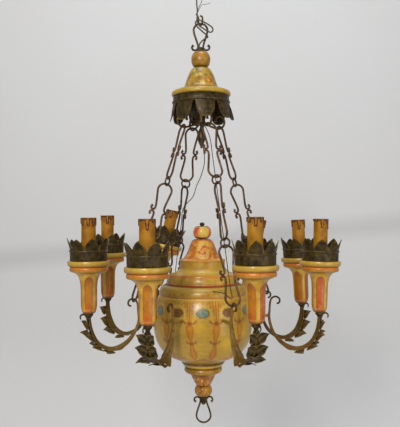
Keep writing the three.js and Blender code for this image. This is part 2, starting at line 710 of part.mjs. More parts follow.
function feedWire(name, armNumber, lead, joinsAt) {
  const side = -9;
  const shoulder = (urn.rimRadius + urn.shoulderRadius) / 2;
  const run = [];
  for (let along = joinsAt; along < chainLength - 18; along += 40) run.push(chainPoint(armNumber, along));
  const points = [
    ...lead, ...run, chainPoint(armNumber, chainLength - 14),
    shoulderPoint(armNumber, eye.x - 18, side * 0.55), shoulderPoint(armNumber, shoulder + 16, side),
    shoulderPoint(armNumber, shoulder - 5, side),
  ];
  const angle = armAngle(armNumber) + radians(side);
  const hole = cylinder(wireHoleRadius, urn.rimRadius - urn.wall - 10, shoulder + 20, 8)
    .rotateY(Math.PI / 2).translate(0, 0, rimTop - urn.shoulderDrop * 0.5).rotateZ(angle);
  return { name, points, holes: [hole] };
}

const bossSide = hook.bossRadius + feedWireRadius + seatGap;
const bossLevel = hookBottom + hook.dip;
const frontLead = [[bossSide, -5, 0], [26, -5, -8], [40, -4, -21]].map(([x, y, z]) => {
  return new THREE.Vector3(x, y, bossLevel + z).applyAxisAngle(new THREE.Vector3(0, 0, 1), armAngle(1));
});
const backLead = [
  [-2, -bossSide, 0], [0, -19, -20], [4, -34, -60], [6, -48, -92], [0, -38, -116], [-12, 14, -140],
  [-21, 62, -162],
].map(([x, y, z]) => new THREE.Vector3(x, y, bossLevel + z));
const frontWire = feedWire('feed_wire_front', 1, frontLead, 40);
const backWire = feedWire('feed_wire_back', 5, backLead, 190);

function makeFeedWires() {
  [frontWire, backWire].forEach(({ name, points }) => {
    add(name, wire(points, feedWireRadius, 5, 2), darkFlex);
  });
}

// Supply flex: out of the ball, once round the loop's leg, through a loose loop and a turn, up to its bare end
const flexRoute = [
  [flexHole.x, flexHole.y, ballTop - flexHole.depth + 1], [flexHole.x, flexHole.y, ballTop + 4], [-3, -8.5, -47],
  [2, -6.5, -39], [9, -6, -33], [17, -0.5, -28], [14.5, 6, -22], [8, 5, -17], [3, 0.5, -14], [-2, -5.5, -11],
  [-9, -8, -5], [-11, -9, 2], [-6, -11, 7], [2, -11.5, 5], [11, -9.5, 1], [20, -7.5, -4], [26, -7, -9],
  [27, -7, -15], [22, -7, -19], [14, -8.5, -16], [5, -11, -11], [-3, -13.5, -6], [-7, -14.5, 1],
  [-7.5, -14, 10], [-7, -11, 20], [-7, -9, 32], [-8, -8, 44], [-8, -8, 56],
].map(([x, y, z]) => new THREE.Vector3(x, y, z));

function makeSupplyFlex() {
  add('supply_flex', wire(flexRoute, flexRadius, 8, 2), darkFlex);
}

makeTopLoop();
makeHangingRing();
makeCanopyBall();
makeCanopyBell();
makeSkirt();
makeHookCross();
chainArms.forEach((armNumber, i) => makeChain(i + 1, armNumber));
makeLid();
makeLidBall();
makeTieRod();
makeUrn();
makeUrnBase();
makeBaseBall();
makePullLoop();
for (let number = 1; number <= arms; number++) {
  makeArm(number);
  const place = new THREE.Group();
  place.rotation.z = armAngle(number);
  const seat = new THREE.Group();
  leanMatrix(number).decompose(seat.position, seat.quaternion, seat.scale);
  place.add(seat);
  chandelier.add(place);
  add(`cup_${number}`, makeCup(), orangePaint, seat);
  add(`crown_${number}`, makeCrown(), darkIron, seat);
  add(`candle_${number}`, makeCandle(), ochreCard, seat);
}
makeFeedWires();
makeSupplyFlex();

export default chandelier;
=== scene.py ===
import math

import bmesh
import bpy
from mathutils import Matrix, Vector, noise


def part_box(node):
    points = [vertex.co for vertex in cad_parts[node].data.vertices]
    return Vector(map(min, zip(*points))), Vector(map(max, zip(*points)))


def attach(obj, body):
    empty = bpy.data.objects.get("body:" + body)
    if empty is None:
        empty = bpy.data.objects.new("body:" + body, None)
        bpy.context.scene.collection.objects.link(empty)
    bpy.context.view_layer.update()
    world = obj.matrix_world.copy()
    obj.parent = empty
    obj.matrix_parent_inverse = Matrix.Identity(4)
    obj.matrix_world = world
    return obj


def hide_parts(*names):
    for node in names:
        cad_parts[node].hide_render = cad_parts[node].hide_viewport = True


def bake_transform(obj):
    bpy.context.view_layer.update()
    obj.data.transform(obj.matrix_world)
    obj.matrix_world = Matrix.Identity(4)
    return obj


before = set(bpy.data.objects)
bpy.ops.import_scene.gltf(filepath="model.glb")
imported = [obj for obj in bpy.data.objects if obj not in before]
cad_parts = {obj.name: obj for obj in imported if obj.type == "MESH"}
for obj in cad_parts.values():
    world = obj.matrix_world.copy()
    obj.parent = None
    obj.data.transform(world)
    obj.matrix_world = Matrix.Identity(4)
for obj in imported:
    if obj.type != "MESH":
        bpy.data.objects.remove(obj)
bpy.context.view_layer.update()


def lowest(node):
    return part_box(node)[0] * 1000


def highest(node):
    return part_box(node)[1] * 1000


ballTop = highest("canopy_ball").z
ballBottom = lowest("canopy_ball").z
bellTop = highest("canopy_bell").z
skirtTop = highest("canopy_skirt").z
rimTop = highest("urn_body").z
lidBallBottom = lowest("lid_ball").z
lidBallTop = highest("lid_ball").z
knobTop = highest("tie_rod").z
baseTop = highest("urn_base").z
baseBallTop = highest("base_ball").z
baseBallBottom = lowest("base_ball").z

# How single arms depart from an even ring: turned and leaning in degrees, raised in millimetres
turns = {2: 8.5, 4: -4, 5: 5, 6: -4.3, 8: -1.3}
leans = {2: 1.5, 3: -2, 4: 11, 5: 12.5}
rises = {1: 1, 2: -3.5, 3: -5, 5: 26, 6: 8.5, 7: 2.5, 8: -1}
bendRises = {2: -5, 3: -5, 6: 4, 7: 3}
cupBottom = lowest("cup_1").z - rises[1]
cupTop = highest("cup_1").z - rises[1]

# Camera

view = {"distance": 1386, "height": -431, "lens": 53.1, "tilt": 0.59, "roll": -0.45, "aside": -4.4}


def makeCamera():
    lens = bpy.data.cameras.new("camera")
    lens.lens = view["lens"]
    lens.sensor_width = 36
    lens.clip_start = 0.05
    camera = bpy.data.objects.new("camera", lens)
    bpy.context.scene.collection.objects.link(camera)
    place = Matrix.Translation((view["aside"] / 1000, -view["distance"] / 1000, view["height"] / 1000))
    tilt, roll = math.radians(90 + view["tilt"]), math.radians(view["roll"])
    turn = Matrix.Rotation(tilt, 4, "X") @ Matrix.Rotation(roll, 4, "Z")
    camera.matrix_world = place @ turn
    bpy.context.scene.camera = camera


makeCamera()
print("camera set")

# Colours and shapes


def tone(red, green, blue):
    return tuple(((part / 255 + 0.055) / 1.055) ** 2.4 for part in (red, green, blue))


def mix(first, second, share):
    share = max(0.0, min(1.0, share))
    return tuple(a + (b - a) * share for a, b in zip(first, second))


def edge(value, low, high):
    share = max(0.0, min(1.0, (value - low) / (high - low)))
    return share * share * (3 - 2 * share)


# 1 near a level and 0 away from it
def near(value, at, inner, outer):
    return 1 - edge(abs(value - at), inner, outer)


# Colours laid over a ground one after another, each by its share
def painted(colour, *coats):
    for share, coat in coats:
        colour = mix(colour, coat, share)
    return colour


def speckle(x, y, z, scale, seed=0.0):
    return noise.noise(Vector((x / scale + seed, y / scale, z / scale)))


def cosOf(degrees):
    return math.cos(math.radians(degrees))


def sinOf(degrees):
    return math.sin(math.radians(degrees))


def between(table, at):
    if at <= table[0][0]:
        return table[0][1]
    for (fromAt, fromValue), (toAt, toValue) in zip(table, table[1:]):
        if at <= toAt:
            return fromValue + (toValue - fromValue) * (at - fromAt) / (toAt - fromAt)
    return table[-1][1]


def aroundFrom(x, y, degrees):
    turn = math.degrees(math.atan2(y, x)) - degrees
    return (turn + 180) % 360 - 180


# A smooth line through points, of the same kind as the solids follow
def flow(points, steps=6):
    points = [Vector(point) for point in points]
    chain = [points[0] * 2 - points[1], *points, points[-1] * 2 - points[-2]]
    line = []
    for a, b, c, d in zip(chain, chain[1:], chain[2:], chain[3:]):
        before, here, after = ((q - p).length ** 0.5 or 1e-4 for p, q in ((a, b), (b, c), (c, d)))
        leaving = ((b - a) / before - (c - a) / (before + here) + (c - b) / here) * here
        arriving = ((c - b) / here - (d - b) / (here + after) + (d - c) / after) * here
        for i in range(steps):
            t = i / steps
            line.append(
                b * (2 * t**3 - 3 * t**2 + 1) + leaving * (t**3 - 2 * t**2 + t)
                + c * (3 * t**2 - 2 * t**3) + arriving * (t**3 - t**2)
            )
    line.append(points[-1])
    return line


def curve(points, steps):
    return [tuple(point) for point in flow(points, steps)]


def arc(x, y, startRadius, endRadius, startAngle, endAngle, steps):
    points = []
    for i in range(steps + 1):
        share = i / steps
        radius = startRadius + (endRadius - startRadius) * share
        angle = math.radians(startAngle + (endAngle - startAngle) * share)
        points.append((x + radius * math.cos(angle), y + radius * math.sin(angle)))
    return points


def upright(points):
    return [Vector((x, 0, z)) for x, z in points]


def steady(line, spacing):
    lengths = [0]
    for a, b in zip(line, line[1:]):
        lengths.append(lengths[-1] + (b - a).length)
    count = max(2, round(lengths[-1] / spacing))
    even, at = [], 0
    for i in range(count + 1):
        target = lengths[-1] * i / count
        while at < len(line) - 2 and lengths[at + 1] < target:
            at += 1
        span = lengths[at + 1] - lengths[at]
        even.append(line[at].lerp(line[at + 1], (target - lengths[at]) / span if span else 0))
    return even


# A round bar along a line; thickness may change with the share of the way
def tube(line, radius, sides=10):
    count = len(line)
    tangents = [(line[min(i + 1, count - 1)] - line[max(i - 1, 0)]).normalized() for i in range(count)]
    side = tangents[0].orthogonal().normalized()
    vertices, faces = [], []
    for i, (centre, along) in enumerate(zip(line, tangents)):
        side = (side - along * side.dot(along)).normalized()
        other = along.cross(side)
        thick = radius(i / (count - 1)) if callable(radius) else radius
        for j in range(sides):
            angle = 2 * math.pi * j / sides
            vertices.append(centre + (side * math.cos(angle) + other * math.sin(angle)) * thick)
    for i in range(count - 1):
        for j in range(sides):
            a, b = i * sides + j, i * sides + (j + 1) % sides
            faces.append((a, b, b + sides, a + sides))
    faces.append(tuple(range(sides - 1, -1, -1)))
    faces.append(tuple((count - 1) * sides + j for j in range(sides)))
    return vertices, faces


# A closed outline of (radius, height) points spun round the upright axis
def turned(profile, segments):
    return ringed(segments, lambda share: profile)


def ringed(stations, outline):
    vertices, faces, count = [], [], 0
    for i in range(stations):
        angle = 2 * math.pi * i / stations
        points = outline(i / stations)
        count = len(points)
        vertices += [Vector((p[0] * math.cos(angle), p[0] * math.sin(angle), p[1])) for p in points]
    for i in range(stations):
        follow = (i + 1) % stations
        for j in range(count):
            across = (j + 1) % count
            faces.append((i * count + j, follow * count + j, follow * count + across, i * count + across))
    return vertices, faces


def loft(rings):
    count = len(rings[0])
    vertices = [point for ring in rings for point in ring]
    faces = []
    for i in range(len(rings) - 1):
        for j in range(count):
            a, b = i * count + j, i * count + (j + 1) % count
            faces.append((a, b, b + count, a + count))
    faces.append(tuple(range(count - 1, -1, -1)))
    faces.append(tuple((len(rings) - 1) * count + j for j in range(count)))
    return vertices, faces


def joined(*shapes):
    vertices, faces = [], []
    for points, corners in shapes:
        start = len(vertices)
        vertices += list(points)
        faces += [tuple(start + i for i in face) for face in corners]
    return vertices, faces


def moved(shape, matrix):
    return [matrix @ point for point in shape[0]], shape[1]


def lifted(shape, x, y, z):
    return moved(shape, Matrix.Translation((x, y, z)))


def spun(degrees, axis="Z"):
    return Matrix.Rotation(math.radians(degrees), 4, axis)


# Makes the piece from a shape in millimetres; paint gives each point's colour before the piece is placed
def makePiece(
    name, shape, material, body=None, nodes=(), paint=None, colours=None, place=None, sharp=38,
):
    vertices, faces = shape
    if paint:
        colours = [paint(*point) for point in vertices]
    if place:
        vertices = [place @ point for point in vertices]
    mesh = bpy.data.meshes.new(name)
    mesh.from_pydata([point * 0.001 for point in vertices], [], faces)
    if colours:
        layer = mesh.color_attributes.new("paint", "FLOAT_COLOR", "POINT")
        layer.data.foreach_set("color", [part for colour in colours for part in (*colour, 1.0)])
    work = bmesh.new()
    work.from_mesh(mesh)
    bmesh.ops.recalc_face_normals(work, faces=work.faces)
    work.to_mesh(mesh)
    work.free()
    mesh.shade_smooth()
    mesh.set_sharp_from_angle(angle=math.radians(sharp))
    mesh.materials.append(material)
    piece = bpy.data.objects.new(name, mesh)
    bpy.context.scene.collection.objects.link(piece)
    if body:
        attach(piece, body)
    if nodes:
        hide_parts(*nodes)
    return piece


# Materials


def newMaterial(name):
    material = bpy.data.materials.new(name)
    material.use_nodes = True
    return material


def put(material, kind, inputs=None, **settings):
    node = material.node_tree.nodes.new(kind)
    for key, value in settings.items():
        setattr(node, key, value)
    for key, value in (inputs or {}).items():
        if isinstance(value, bpy.types.NodeSocket):
            material.node_tree.links.new(value, node.inputs[key])
        else:
            node.inputs[key].default_value = value
    return node


def ramp(material, source, *stops):
    node = put(material, "ShaderNodeValToRGB", {"Fac": source})
    elements = node.color_ramp.elements
    while len(elements) < len(stops):
        elements.new(0.5)
    for element, (at, colour) in zip(elements, stops):
        element.position = at
        element.color = (*colour, 1) if isinstance(colour, tuple) else (colour, colour, colour, 1)
    return node.outputs["Color"]


def grain(material, scale, detail=4, stretch=(1, 1, 1), roughness=0.55):
    place = put(material, "ShaderNodeTexCoord").outputs["Object"]
    spread = put(material, "ShaderNodeMapping", {"Vector": place, "Scale": stretch})
    inputs = {"Vector": spread.outputs["Vector"], "Scale": scale, "Detail": detail, "Roughness": roughness}
    return put(material, "ShaderNodeTexNoise", inputs).outputs["Fac"]


def ownPaint(material):
    return put(material, "ShaderNodeAttribute", attribute_name="paint").outputs["Color"]


def blend(material, share, first, second, kind="MIX"):
    inputs = {"Fac": share, "Color1": first, "Color2": second}
    return put(material, "ShaderNodeMixRGB", inputs, blend_type=kind).outputs["Color"]


def rough(material, height, strength, distance=0.001):
    inputs = {"Height": height, "Strength": strength, "Distance": distance}
    return put(material, "ShaderNodeBump", inputs).outputs["Normal"]


def dress(material, **inputs):
    shader = material.node_tree.nodes["Principled BSDF"]
    for key, value in inputs.items():
        socket = shader.inputs[key.replace("_", " ")]
        if isinstance(value, bpy.types.NodeSocket):
            material.node_tree.links.new(value, socket)
        else:
            socket.default_value = value
    return material


# Painted wood under old varnish: the piece's own paint with the painted shade and highlights it carries,
# brush marks along the turning, dirt and fine specks
def paintedWood(name, stretch, gloss=0.36):
    material = newMaterial(name)
    colour = ownPaint(material)
    clouds = ramp(material, grain(material, 28, 3), (0.3, (0.72, 0.66, 0.52)), (0.7, (1.12, 1.08, 1.02)))
    strokes = ramp(
        material, grain(material, 90, 5, stretch), (0.3, (0.82, 0.78, 0.7)), (0.68, (1.1, 1.08, 1.05)),
    )
    dirt = ramp(
        material, grain(material, 260, 6, (1, 1, 1), 0.7), (0.32, (0.4, 0.27, 0.12)), (0.42, (1.0, 1.0, 1.0)),
    )
    colour = blend(material, 0.85, colour, clouds, "MULTIPLY")
    colour = blend(material, 0.75, colour, strokes, "MULTIPLY")
    colour = blend(material, 0.6, colour, dirt, "MULTIPLY")
    colour = blend(material, 1.0, colour, (0.9, 0.87, 0.43, 1), "MULTIPLY")
    bump = rough(material, grain(material, 140, 5, stretch), 0.35, 0.0006)
    shine = ramp(material, grain(material, 60, 3), (0.3, gloss - 0.08), (0.7, gloss + 0.12))
    return dress(
        material, Base_Color=colour, Roughness=shine, Normal=bump, Coat_Weight=0.22, Coat_Roughness=0.22,
        Specular_IOR_Level=0.36,
    )


# Iron with old paint or rust, rubbed bright along its edges
def wornIron(name, dark, light, rubbed, metal=0.65, shine=0.5, own=0.0, gloss=0.5):
    material = newMaterial(name)
    mottled = ramp(material, grain(material, 120, 6), (0.35, dark), (0.66, light))
    if own:
        colour = ownPaint(material)
        mottled = blend(material, own, mottled, colour)
        spots = ramp(material, grain(material, 150, 5), (0.3, (0.6, 0.55, 0.5)), (0.7, (1.25, 1.2, 1.1)))
        mottled = blend(material, 0.9, mottled, spots, "MULTIPLY")
    pointed = put(material, "ShaderNodeNewGeometry").outputs["Pointiness"]
    wear = ramp(material, pointed, (0.52, 0.0), (0.6, 1.0))
    patchy = ramp(material, grain(material, 200, 4), (0.42, 0.0), (0.66, 0.7))
    worn = blend(material, 1.0, wear, patchy, "MULTIPLY")
    colour = blend(material, worn, mottled, (*rubbed, 1))
    pitted = rough(material, grain(material, 320, 6), 0.5, 0.0008)
    dull = ramp(material, grain(material, 90, 4), (0.3, shine - 0.12), (0.7, shine + 0.15))
    return dress(
        material, Base_Color=colour, Roughness=dull, Normal=pitted, Metallic=metal, Specular_IOR_Level=gloss,
    )


def candleCard(name):
    material = newMaterial(name)
    colour = ownPaint(material)
    clouds = ramp(material, grain(material, 60, 5), (0.3, (0.74, 0.68, 0.5)), (0.7, (1.12, 1.1, 1.0)))
    colour = blend(material, 0.8, colour, clouds, "MULTIPLY")
    colour = blend(material, 1.0, colour, (0.74, 0.69, 0.22, 1), "MULTIPLY")
    bump = rough(material, grain(material, 160, 5), 0.4, 0.0008)
    return dress(material, Base_Color=colour, Roughness=0.5, Normal=bump, Specular_IOR_Level=0.25)


def coveredFlex(name, dark, light):
    material = newMaterial(name)
    lay = grain(material, 900, 2, (1, 1, 0.3))
    colour = ramp(material, lay, (0.35, dark), (0.65, light))
    return dress(material, Base_Color=colour, Roughness=0.75, Normal=rough(material, lay, 0.6, 0.0005))


woodTurned = paintedWood("woodTurned", (0.6, 0.6, 6.0))
woodCup = paintedWood("woodCup", (3.0, 3.0, 0.5), 0.34)
ironDark = wornIron("ironDark", tone(26, 19, 3), tone(72, 55, 9), tone(152, 124, 44), 0.2, 0.42, gloss=0.3)
ironDrop = wornIron("ironDrop", tone(30, 21, 9), tone(96, 68, 32), tone(132, 98, 50), 0.45, 0.42)
ironChain = wornIron("ironChain", tone(32, 23, 13), tone(92, 64, 34), tone(140, 100, 58), 0.45, 0.48)
ironLeaf = wornIron("ironLeaf", tone(36, 27, 4), tone(78, 58, 14), tone(140, 110, 40), 0.15, 0.52, 0.9, 0.25)
cardCandle = candleCard("cardCandle")
flexCover = coveredFlex("flexCover", tone(38, 32, 22), tone(92, 82, 58))
flexDark = coveredFlex("flexDark", tone(26, 20, 14), tone(58, 46, 32))
print("materials made")


# A piece turned from wood round the middle axis
def turnWood(name, node, body, profile, bottom, segments, paint):
    shape = lifted(turned(profile, segments), 0, 0, bottom)
    makePiece(name, shape, woodTurned, body, [node], paint=paint)

# Supply flex, with its bare strands

flex = {"radius": 1.6, "hole": (-3, -9), "holeDepth": 6, "strand": 0.7}
flexPoints = [
    (*flex["hole"], ballTop - flex["holeDepth"] + 1), (*flex["hole"], ballTop + 4), (-3, -8.5, -47),
    (2, -6.5, -39), (9, -5.5, -33), (15.5, -0.5, -28), (14, 5.5, -22), (8, 5, -17), (3, 0.5, -14),
    (-2, -5.5, -11), (-9, -8, -5), (-11, -9, 2), (-6, -11, 7), (2, -11.5, 5), (11, -9.5, 1), (20, -7.5, -4),
    (26, -7, -9), (27, -7, -15), (22, -7, -19), (14, -8.5, -16), (5, -11, -11), (-3, -13.5, -6),
    (-7, -14.5, 1), (-7.5, -14, 10), (-7, -11, 20), (-7, -9, 32), (-8, -8, 44), (-8, -8, 56),
]
flexLine = steady(flow(flexPoints, 8), 1.6)
flexPiece = makePiece(
    "flexSupply", tube(flexLine, flex["radius"], 10), flexCover, "canopy", ["supply_flex"],
)
strandRight = flow([(-6.4, -9.2, 26), (-3, -9.5, 36), (2, -9, 46), (5, -8.5, 56)])
strandBent = flow([(-5.6, -10.2, 24), (-1, -10.5, 34), (5, -10.5, 41), (14, -10, 42), (22, -9.5, 45)])
strands = joined(tube(strandRight, flex["strand"], 6), tube(strandBent, flex["strand"] * 0.8, 6))
strandPiece = makePiece("flexStrands", strands, flexDark, "canopy")

# Iron loops

loopCurve = {"taper": 0.6, "sweep": 240}


def lyreSide(height, crown, neck, scroll):
    taper, sweep = loopCurve["taper"], loopCurve["sweep"]
    lowestTurn = scroll * (1 - ((1 - taper) * 90) / sweep)
    over = arc(0, -crown, crown, crown, 90, -25, 3)
    return over + arc(neck + scroll, lowestTurn - height, scroll, scroll * taper, 180, 180 + sweep, 5)


# Both ends of the wire swell into the little balls of the scrolls
def swollen(wire, swell=0.45):
    return lambda share: wire * (1 + swell * (1 - edge(min(share, 1 - share), 0.005, 0.05)))


def lyre(height, crown, neck, scroll, wire, steps=5, sides=10):
    side = lyreSide(height, crown, neck, scroll)
    mirrored = [(-x, z) for x, z in side[:0:-1]]
    return tube(flow(upright(mirrored + side), steps), swollen(wire), sides)


topLoop = {"wire": 2.3, "height": 59, "crown": 15.5, "neck": 5.6, "scroll": 8, "foot": 8, "footRise": 11}
foot, footRise = topLoop["foot"], topLoop["footRise"]
footProfile = [
    (0.2, 0.3), (foot, 0.3), (foot + 0.6, 1.4), (foot, 3), (5.6, 4.6), (4.6, 8), (3, footRise),
    (0.2, footRise + 0.6),
]
topLoopShape = lifted(
    lyre(topLoop["height"], topLoop["crown"], topLoop["neck"], topLoop["scroll"], topLoop["wire"]), 0, 0,
    topLoop["wire"]
)
footShape = lifted(turned(footProfile, 24), 0, 0, ballTop)
makePiece("loopTop", joined(topLoopShape, footShape), ironDark, "canopy", ["top_loop"])

hanging = {"wire": 2, "width": 17, "height": 22, "tail": 13, "turn": -57}
halfWide, high, tail = hanging["width"] / 2, hanging["height"], hanging["tail"]
hangingPoints = [
    (-halfWide - tail * 0.6, high + tail * 0.7), (-halfWide * 0.9, high * 0.85), (-halfWide, high * 0.45),
    (-halfWide * 0.55, high * 0.1), (0, 0), (halfWide * 0.6, high * 0.12), (halfWide, high * 0.5),
    (halfWide * 0.7, high * 0.88), (0, high),
]
hangingShape = lifted(
    tube(flow(upright(hangingPoints), 6), hanging["wire"], 10), 0, 0, -hanging["wire"] - 0.7,
)
makePiece(
    "ringHanging", hangingShape, ironDark, "canopy", ["hanging_ring"],
    place=spun(hanging["turn"]),
)

pull = {"wire": 2, "height": 56, "crown": 15.8, "neck": 6.4, "scroll": 8, "stud": 20}
pullTop = highest("pull_loop").z
pullLyre = lyre(pull["height"], pull["crown"], pull["neck"], pull["scroll"], pull["wire"])
pullShape = lifted(moved(pullLyre, spun(180, "X")), 0, 0, pullTop - pull["height"] - pull["wire"])
studProfile = [
    (0.2, 0), (7.4, 0), (7.9, -1.2), (6.6, -3.4), (4.8, -6), (5.6, -10), (5.4, -14), (4, -18),
    (0.2, -pull["stud"]),
]
studShape = lifted(turned(studProfile, 24), 0, 0, pullTop)
makePiece("loopPull", joined(pullShape, studShape), ironDark, "pull_loop", ["pull_loop"])
print("loops made")

# Canopy ball and bell

pale = tone(214, 184, 112)
burnt = tone(160, 84, 14)
red = tone(176, 62, 26)
umber = tone(96, 56, 14)
teal = tone(92, 132, 138)


def ballProfile(bottom, top, radius, neck, bore=4.3):
    middle, half = (bottom + top) / 2, (top - bottom) / 2
    side = [
        (neck + (radius - neck) * cosOf(a), middle + half * sinOf(a))
        for a in range(-90, 91, 9)
    ]
    side[0], side[-1] = (neck, bottom), (neck, top)
    return [(bore, bottom), *side, (bore, top)]


def paintCanopyBall(x, y, z):
    middle = (ballTop + ballBottom) / 2
    # Painted shade darkens both ends of the ball, where it meets the loop's foot and the bell
    return painted(
        mix(tone(160, 118, 32), tone(178, 142, 56), edge(speckle(x, y, z, 9), -0.2, 0.4)),
        (0.75 * edge(speckle(x, y, z, 3.4, 7), 0.18, 0.5), umber),
        (0.6 * edge(abs(z - middle), 13, 17), tone(60, 40, 14)),
    )


canopyBallSide = ballProfile(ballBottom, ballTop, 21.1, 11.5)
turnWood("ballCanopy", "canopy_ball", "canopy", canopyBallSide, 0, 72, paintCanopyBall)


# A flower of a centre and five petals, seen from a distance of aside and up from its middle
def flower(aside, up, size):
    distance = math.hypot(aside, up)
    petal = 0.72 + 0.28 * math.cos(5 * math.atan2(up, aside))
    return 1 - edge(distance / (size * petal), 0.72, 1.05), 1 - edge(distance / size, 0.2, 0.34)


white = tone(232, 214, 150)
bell = {"circle": 32, "flowers": [
    (-124, -11, 13, teal), (-62, -34, 11, red), (-108, -22, 6, white), (-92, -21, 6, white),
    (-84, -40, 7, white), (0, -30, 10, teal), (60, -34, 9, red), (120, -26, 10, teal), (180, -36, 9, red),
]}
bellDome = curve([
    (11, 0), (15, -0.7), (19.4, -3), (22.8, -7), (25.6, -12), (28.2, -18), (30.6, -24), (32.6, -30),
    (34.8, -36), (37.4, -42), (40.6, -46.4),
], 4)
bellSweep = curve([(40.6, -46.4), (46, -49.4), (53, -50.8), (59, -52.4), (62.6, -54.2)], 5)
bellRim = [(64.2, -55.8), (65, -58), (65, -61.6), (63.6, -63.8), (61.6, -64.7), (4.3, -64.7), (4.3, 0)]


def paintBell(x, y, z):
    depth = z - bellTop
    colour = mix(tone(176, 150, 72), tone(142, 110, 36), edge(speckle(x, y, z, 10), -0.25, 0.35))
    for at, level, size, petal in bell["flowers"]:
        aside, up = math.radians(aroundFrom(x, y, at)) * bell["circle"], depth - level
        spread, heart = flower(aside, up, size)
        stalk = near(aside, 3 * math.sin(up / 5), 0.8, 1.8) * (-18 < up < -size * 0.8)
        colour = painted(
            colour, (0.7 * spread * (0.75 + 0.4 * speckle(x, y, z, 5)), petal), (0.8 * heart, pale),
            (0.6 * stalk, burnt),
        )
    # The last coat, umber over the top of the bell, is painted shade under the ball
    return painted(
        colour, (0.8 * (1 - edge(depth, -57, -51)), tone(186, 158, 76)),
        (0.6 * near(depth, -47.5, 0.5, 2.5), umber), (0.55 * (1 - edge(depth, -64.4, -62.8)), umber),
        (0.5 * edge(depth, -5, -0.5), umber),
    )


turnWood("bellCanopy", "canopy_bell", "canopy", bellDome + bellSweep[1:] + bellRim, bellTop, 120, paintBell)

# Sheet skirt under the bell

skirt = {
    "fill": 0.87, "band": 61.8, "bandHeight": 13, "sheet": 1.5, "turn": 8, "columns": 30,
    "lengths": [37, 37, 34, 38, 38, 38, 39, 42], "flares": [5, 6, 9, 6, 6, 6, 6, 5],
}


def petalShape(share, fullness, sharpness):
    aside = abs(2 * share - 1)
    return max(0.0, 1 - aside**fullness) ** sharpness


# The petal at a share of the way round, and the share across it
def petalAt(share, petals):
    whole = int(share * petals + 1e-6)
    return whole % petals, share * petals - whole


def skirtOutline(share):
    number, within = petalAt(share, len(skirt["lengths"]))
    reach = petalShape(0.5 + (within - 0.5) / skirt["fill"], 2.8, 0.55)
    length = skirt["lengths"][number] * reach
    flare = skirt["flares"][number] * reach
    band, sheet, bottom = skirt["band"], skirt["sheet"], skirtTop - skirt["bandHeight"]
    outer = [
        (4.3, skirtTop), (band - 1.2, skirtTop), (band, skirtTop - 1), (band + 0.3, bottom + 2.4),
        (band + 1.9, bottom + 1.4), (band + 2.3, bottom), (band + 1.7, bottom - 1.4),
        (band + 0.3, bottom - 2.4),
    ]
    leaf = []
    for i in range(1, 13):
        down = i / 12
        rim = 1.3 * edge(down * length, length - 5, length - 2.5) * (reach > 0.2)
        bow = 1.6 * math.sin(math.pi * within) * math.sin(math.pi * min(1, down * 1.1))
        leaf.append((band + 0.3 + bow + flare * down**1.8 + rim, bottom - 3 - length * down))
    inner = [(radius - sheet, height) for radius, height in reversed(leaf)]
    closing = [(band - sheet, bottom), (band - sheet, skirtTop - sheet), (4.3, skirtTop - sheet)]
    return outer + leaf + inner + closing


makePiece(
    "skirtCanopy", ringed(len(skirt["lengths"]) * skirt["columns"], skirtOutline), ironDark, "canopy",
    ["canopy_skirt"], place=spun(skirt["turn"] - 90 - 22.5), sharp=50,
)
print("canopy made")

# Hooks, boss and drop under the canopy

hook = {
    "wire": 2.4, "circle": 42, "boss": 11, "bossRadius": 9, "dip": 12, "bend": 17, "curl": 7.5,
    "belowPlate": 68.3,
}
drop = {"length": 52}
hookBottom = skirtTop - hook["belowPlate"]
bossTop = hookBottom + hook["dip"] + hook["boss"] / 2
bossBottom = bossTop - hook["boss"]


def armTurn(number):
    return (number - 0.5) * 45 + turns.get(number, 0) - 90


hookRoute = [
    (hook["bossRadius"] - 3, hookBottom + hook["dip"]),
    (hook["circle"] * 0.55, hookBottom + hook["dip"] * 0.35),
    *arc(hook["circle"], hookBottom + hook["bend"], hook["bend"], hook["curl"], -90, 190, 8),
]
hookShape = tube(
    flow(upright(hookRoute), 5), lambda share: hook["wire"] * (1 + 0.35 * edge(share, 0.95, 0.99)), 10,
)
dropProfile = curve([
    (0.3, -drop["length"]), (2.2, 1.5 - drop["length"]), (3, 5 - drop["length"]), (6.6, -38), (9, -28),
    (8.4, -20), (5, -10), (2.9, -4), (4, 1), (0.3, 1.2),
], 5)
bossHigh = hook["boss"]
bossProfile = [
    (0.2, 0), (7.4, 0), (9, 1.6), (9.4, 5.5), (9, bossHigh - 1.6), (7.4, bossHigh), (0.2, bossHigh),
]
rodProfile = [(0.2, bossTop - 1), (4, bossTop - 1), (4, skirtTop - 1), (0.2, skirtTop - 1)]
hookShapes = [moved(hookShape, spun(armTurn(number))) for number in (1, 3, 5, 7)]
underBell = lifted(joined(turned(dropProfile, 28), turned(bossProfile, 28)), 0, 0, bossBottom)
makePiece(
    "hooksCanopy", joined(*hookShapes, underBell, turned(rodProfile, 16)), ironDrop, "canopy", ["hook_cross"],
)
print("hooks made")

# Chains

link = {"wire": 2.3, "length": 128.6, "crown": 16, "pinch": 10, "scroll": 5.6}
ring = {"wire": 1.9, "radius": 9.7}
linkPitch = link["length"] - 2 * link["wire"]
ringHang = link["wire"] + ring["wire"] + 0.4
ringWeld = link["wire"] + ring["wire"] - 1
chainStep = linkPitch + 2 * ring["radius"] - ringHang - ringWeld
chainLength = 3 * linkPitch + 2 * (2 * ring["radius"] - ringHang - ringWeld)
eyeCircle = 158
eyeBelowRim = 30.5
chainLean = math.asin((eyeCircle - hook["circle"]) / chainLength)
pivotHeight = hookBottom + hook["wire"] + link["wire"] + 0.4


def doubleLink():
    half = lyre(
        linkPitch / 2 - link["wire"] + 0.5, link["crown"], link["pinch"], link["scroll"], link["wire"], 4, 9,
    )
    return joined(half, lifted(moved(half, spun(180, "X")), 0, 0, -linkPitch))


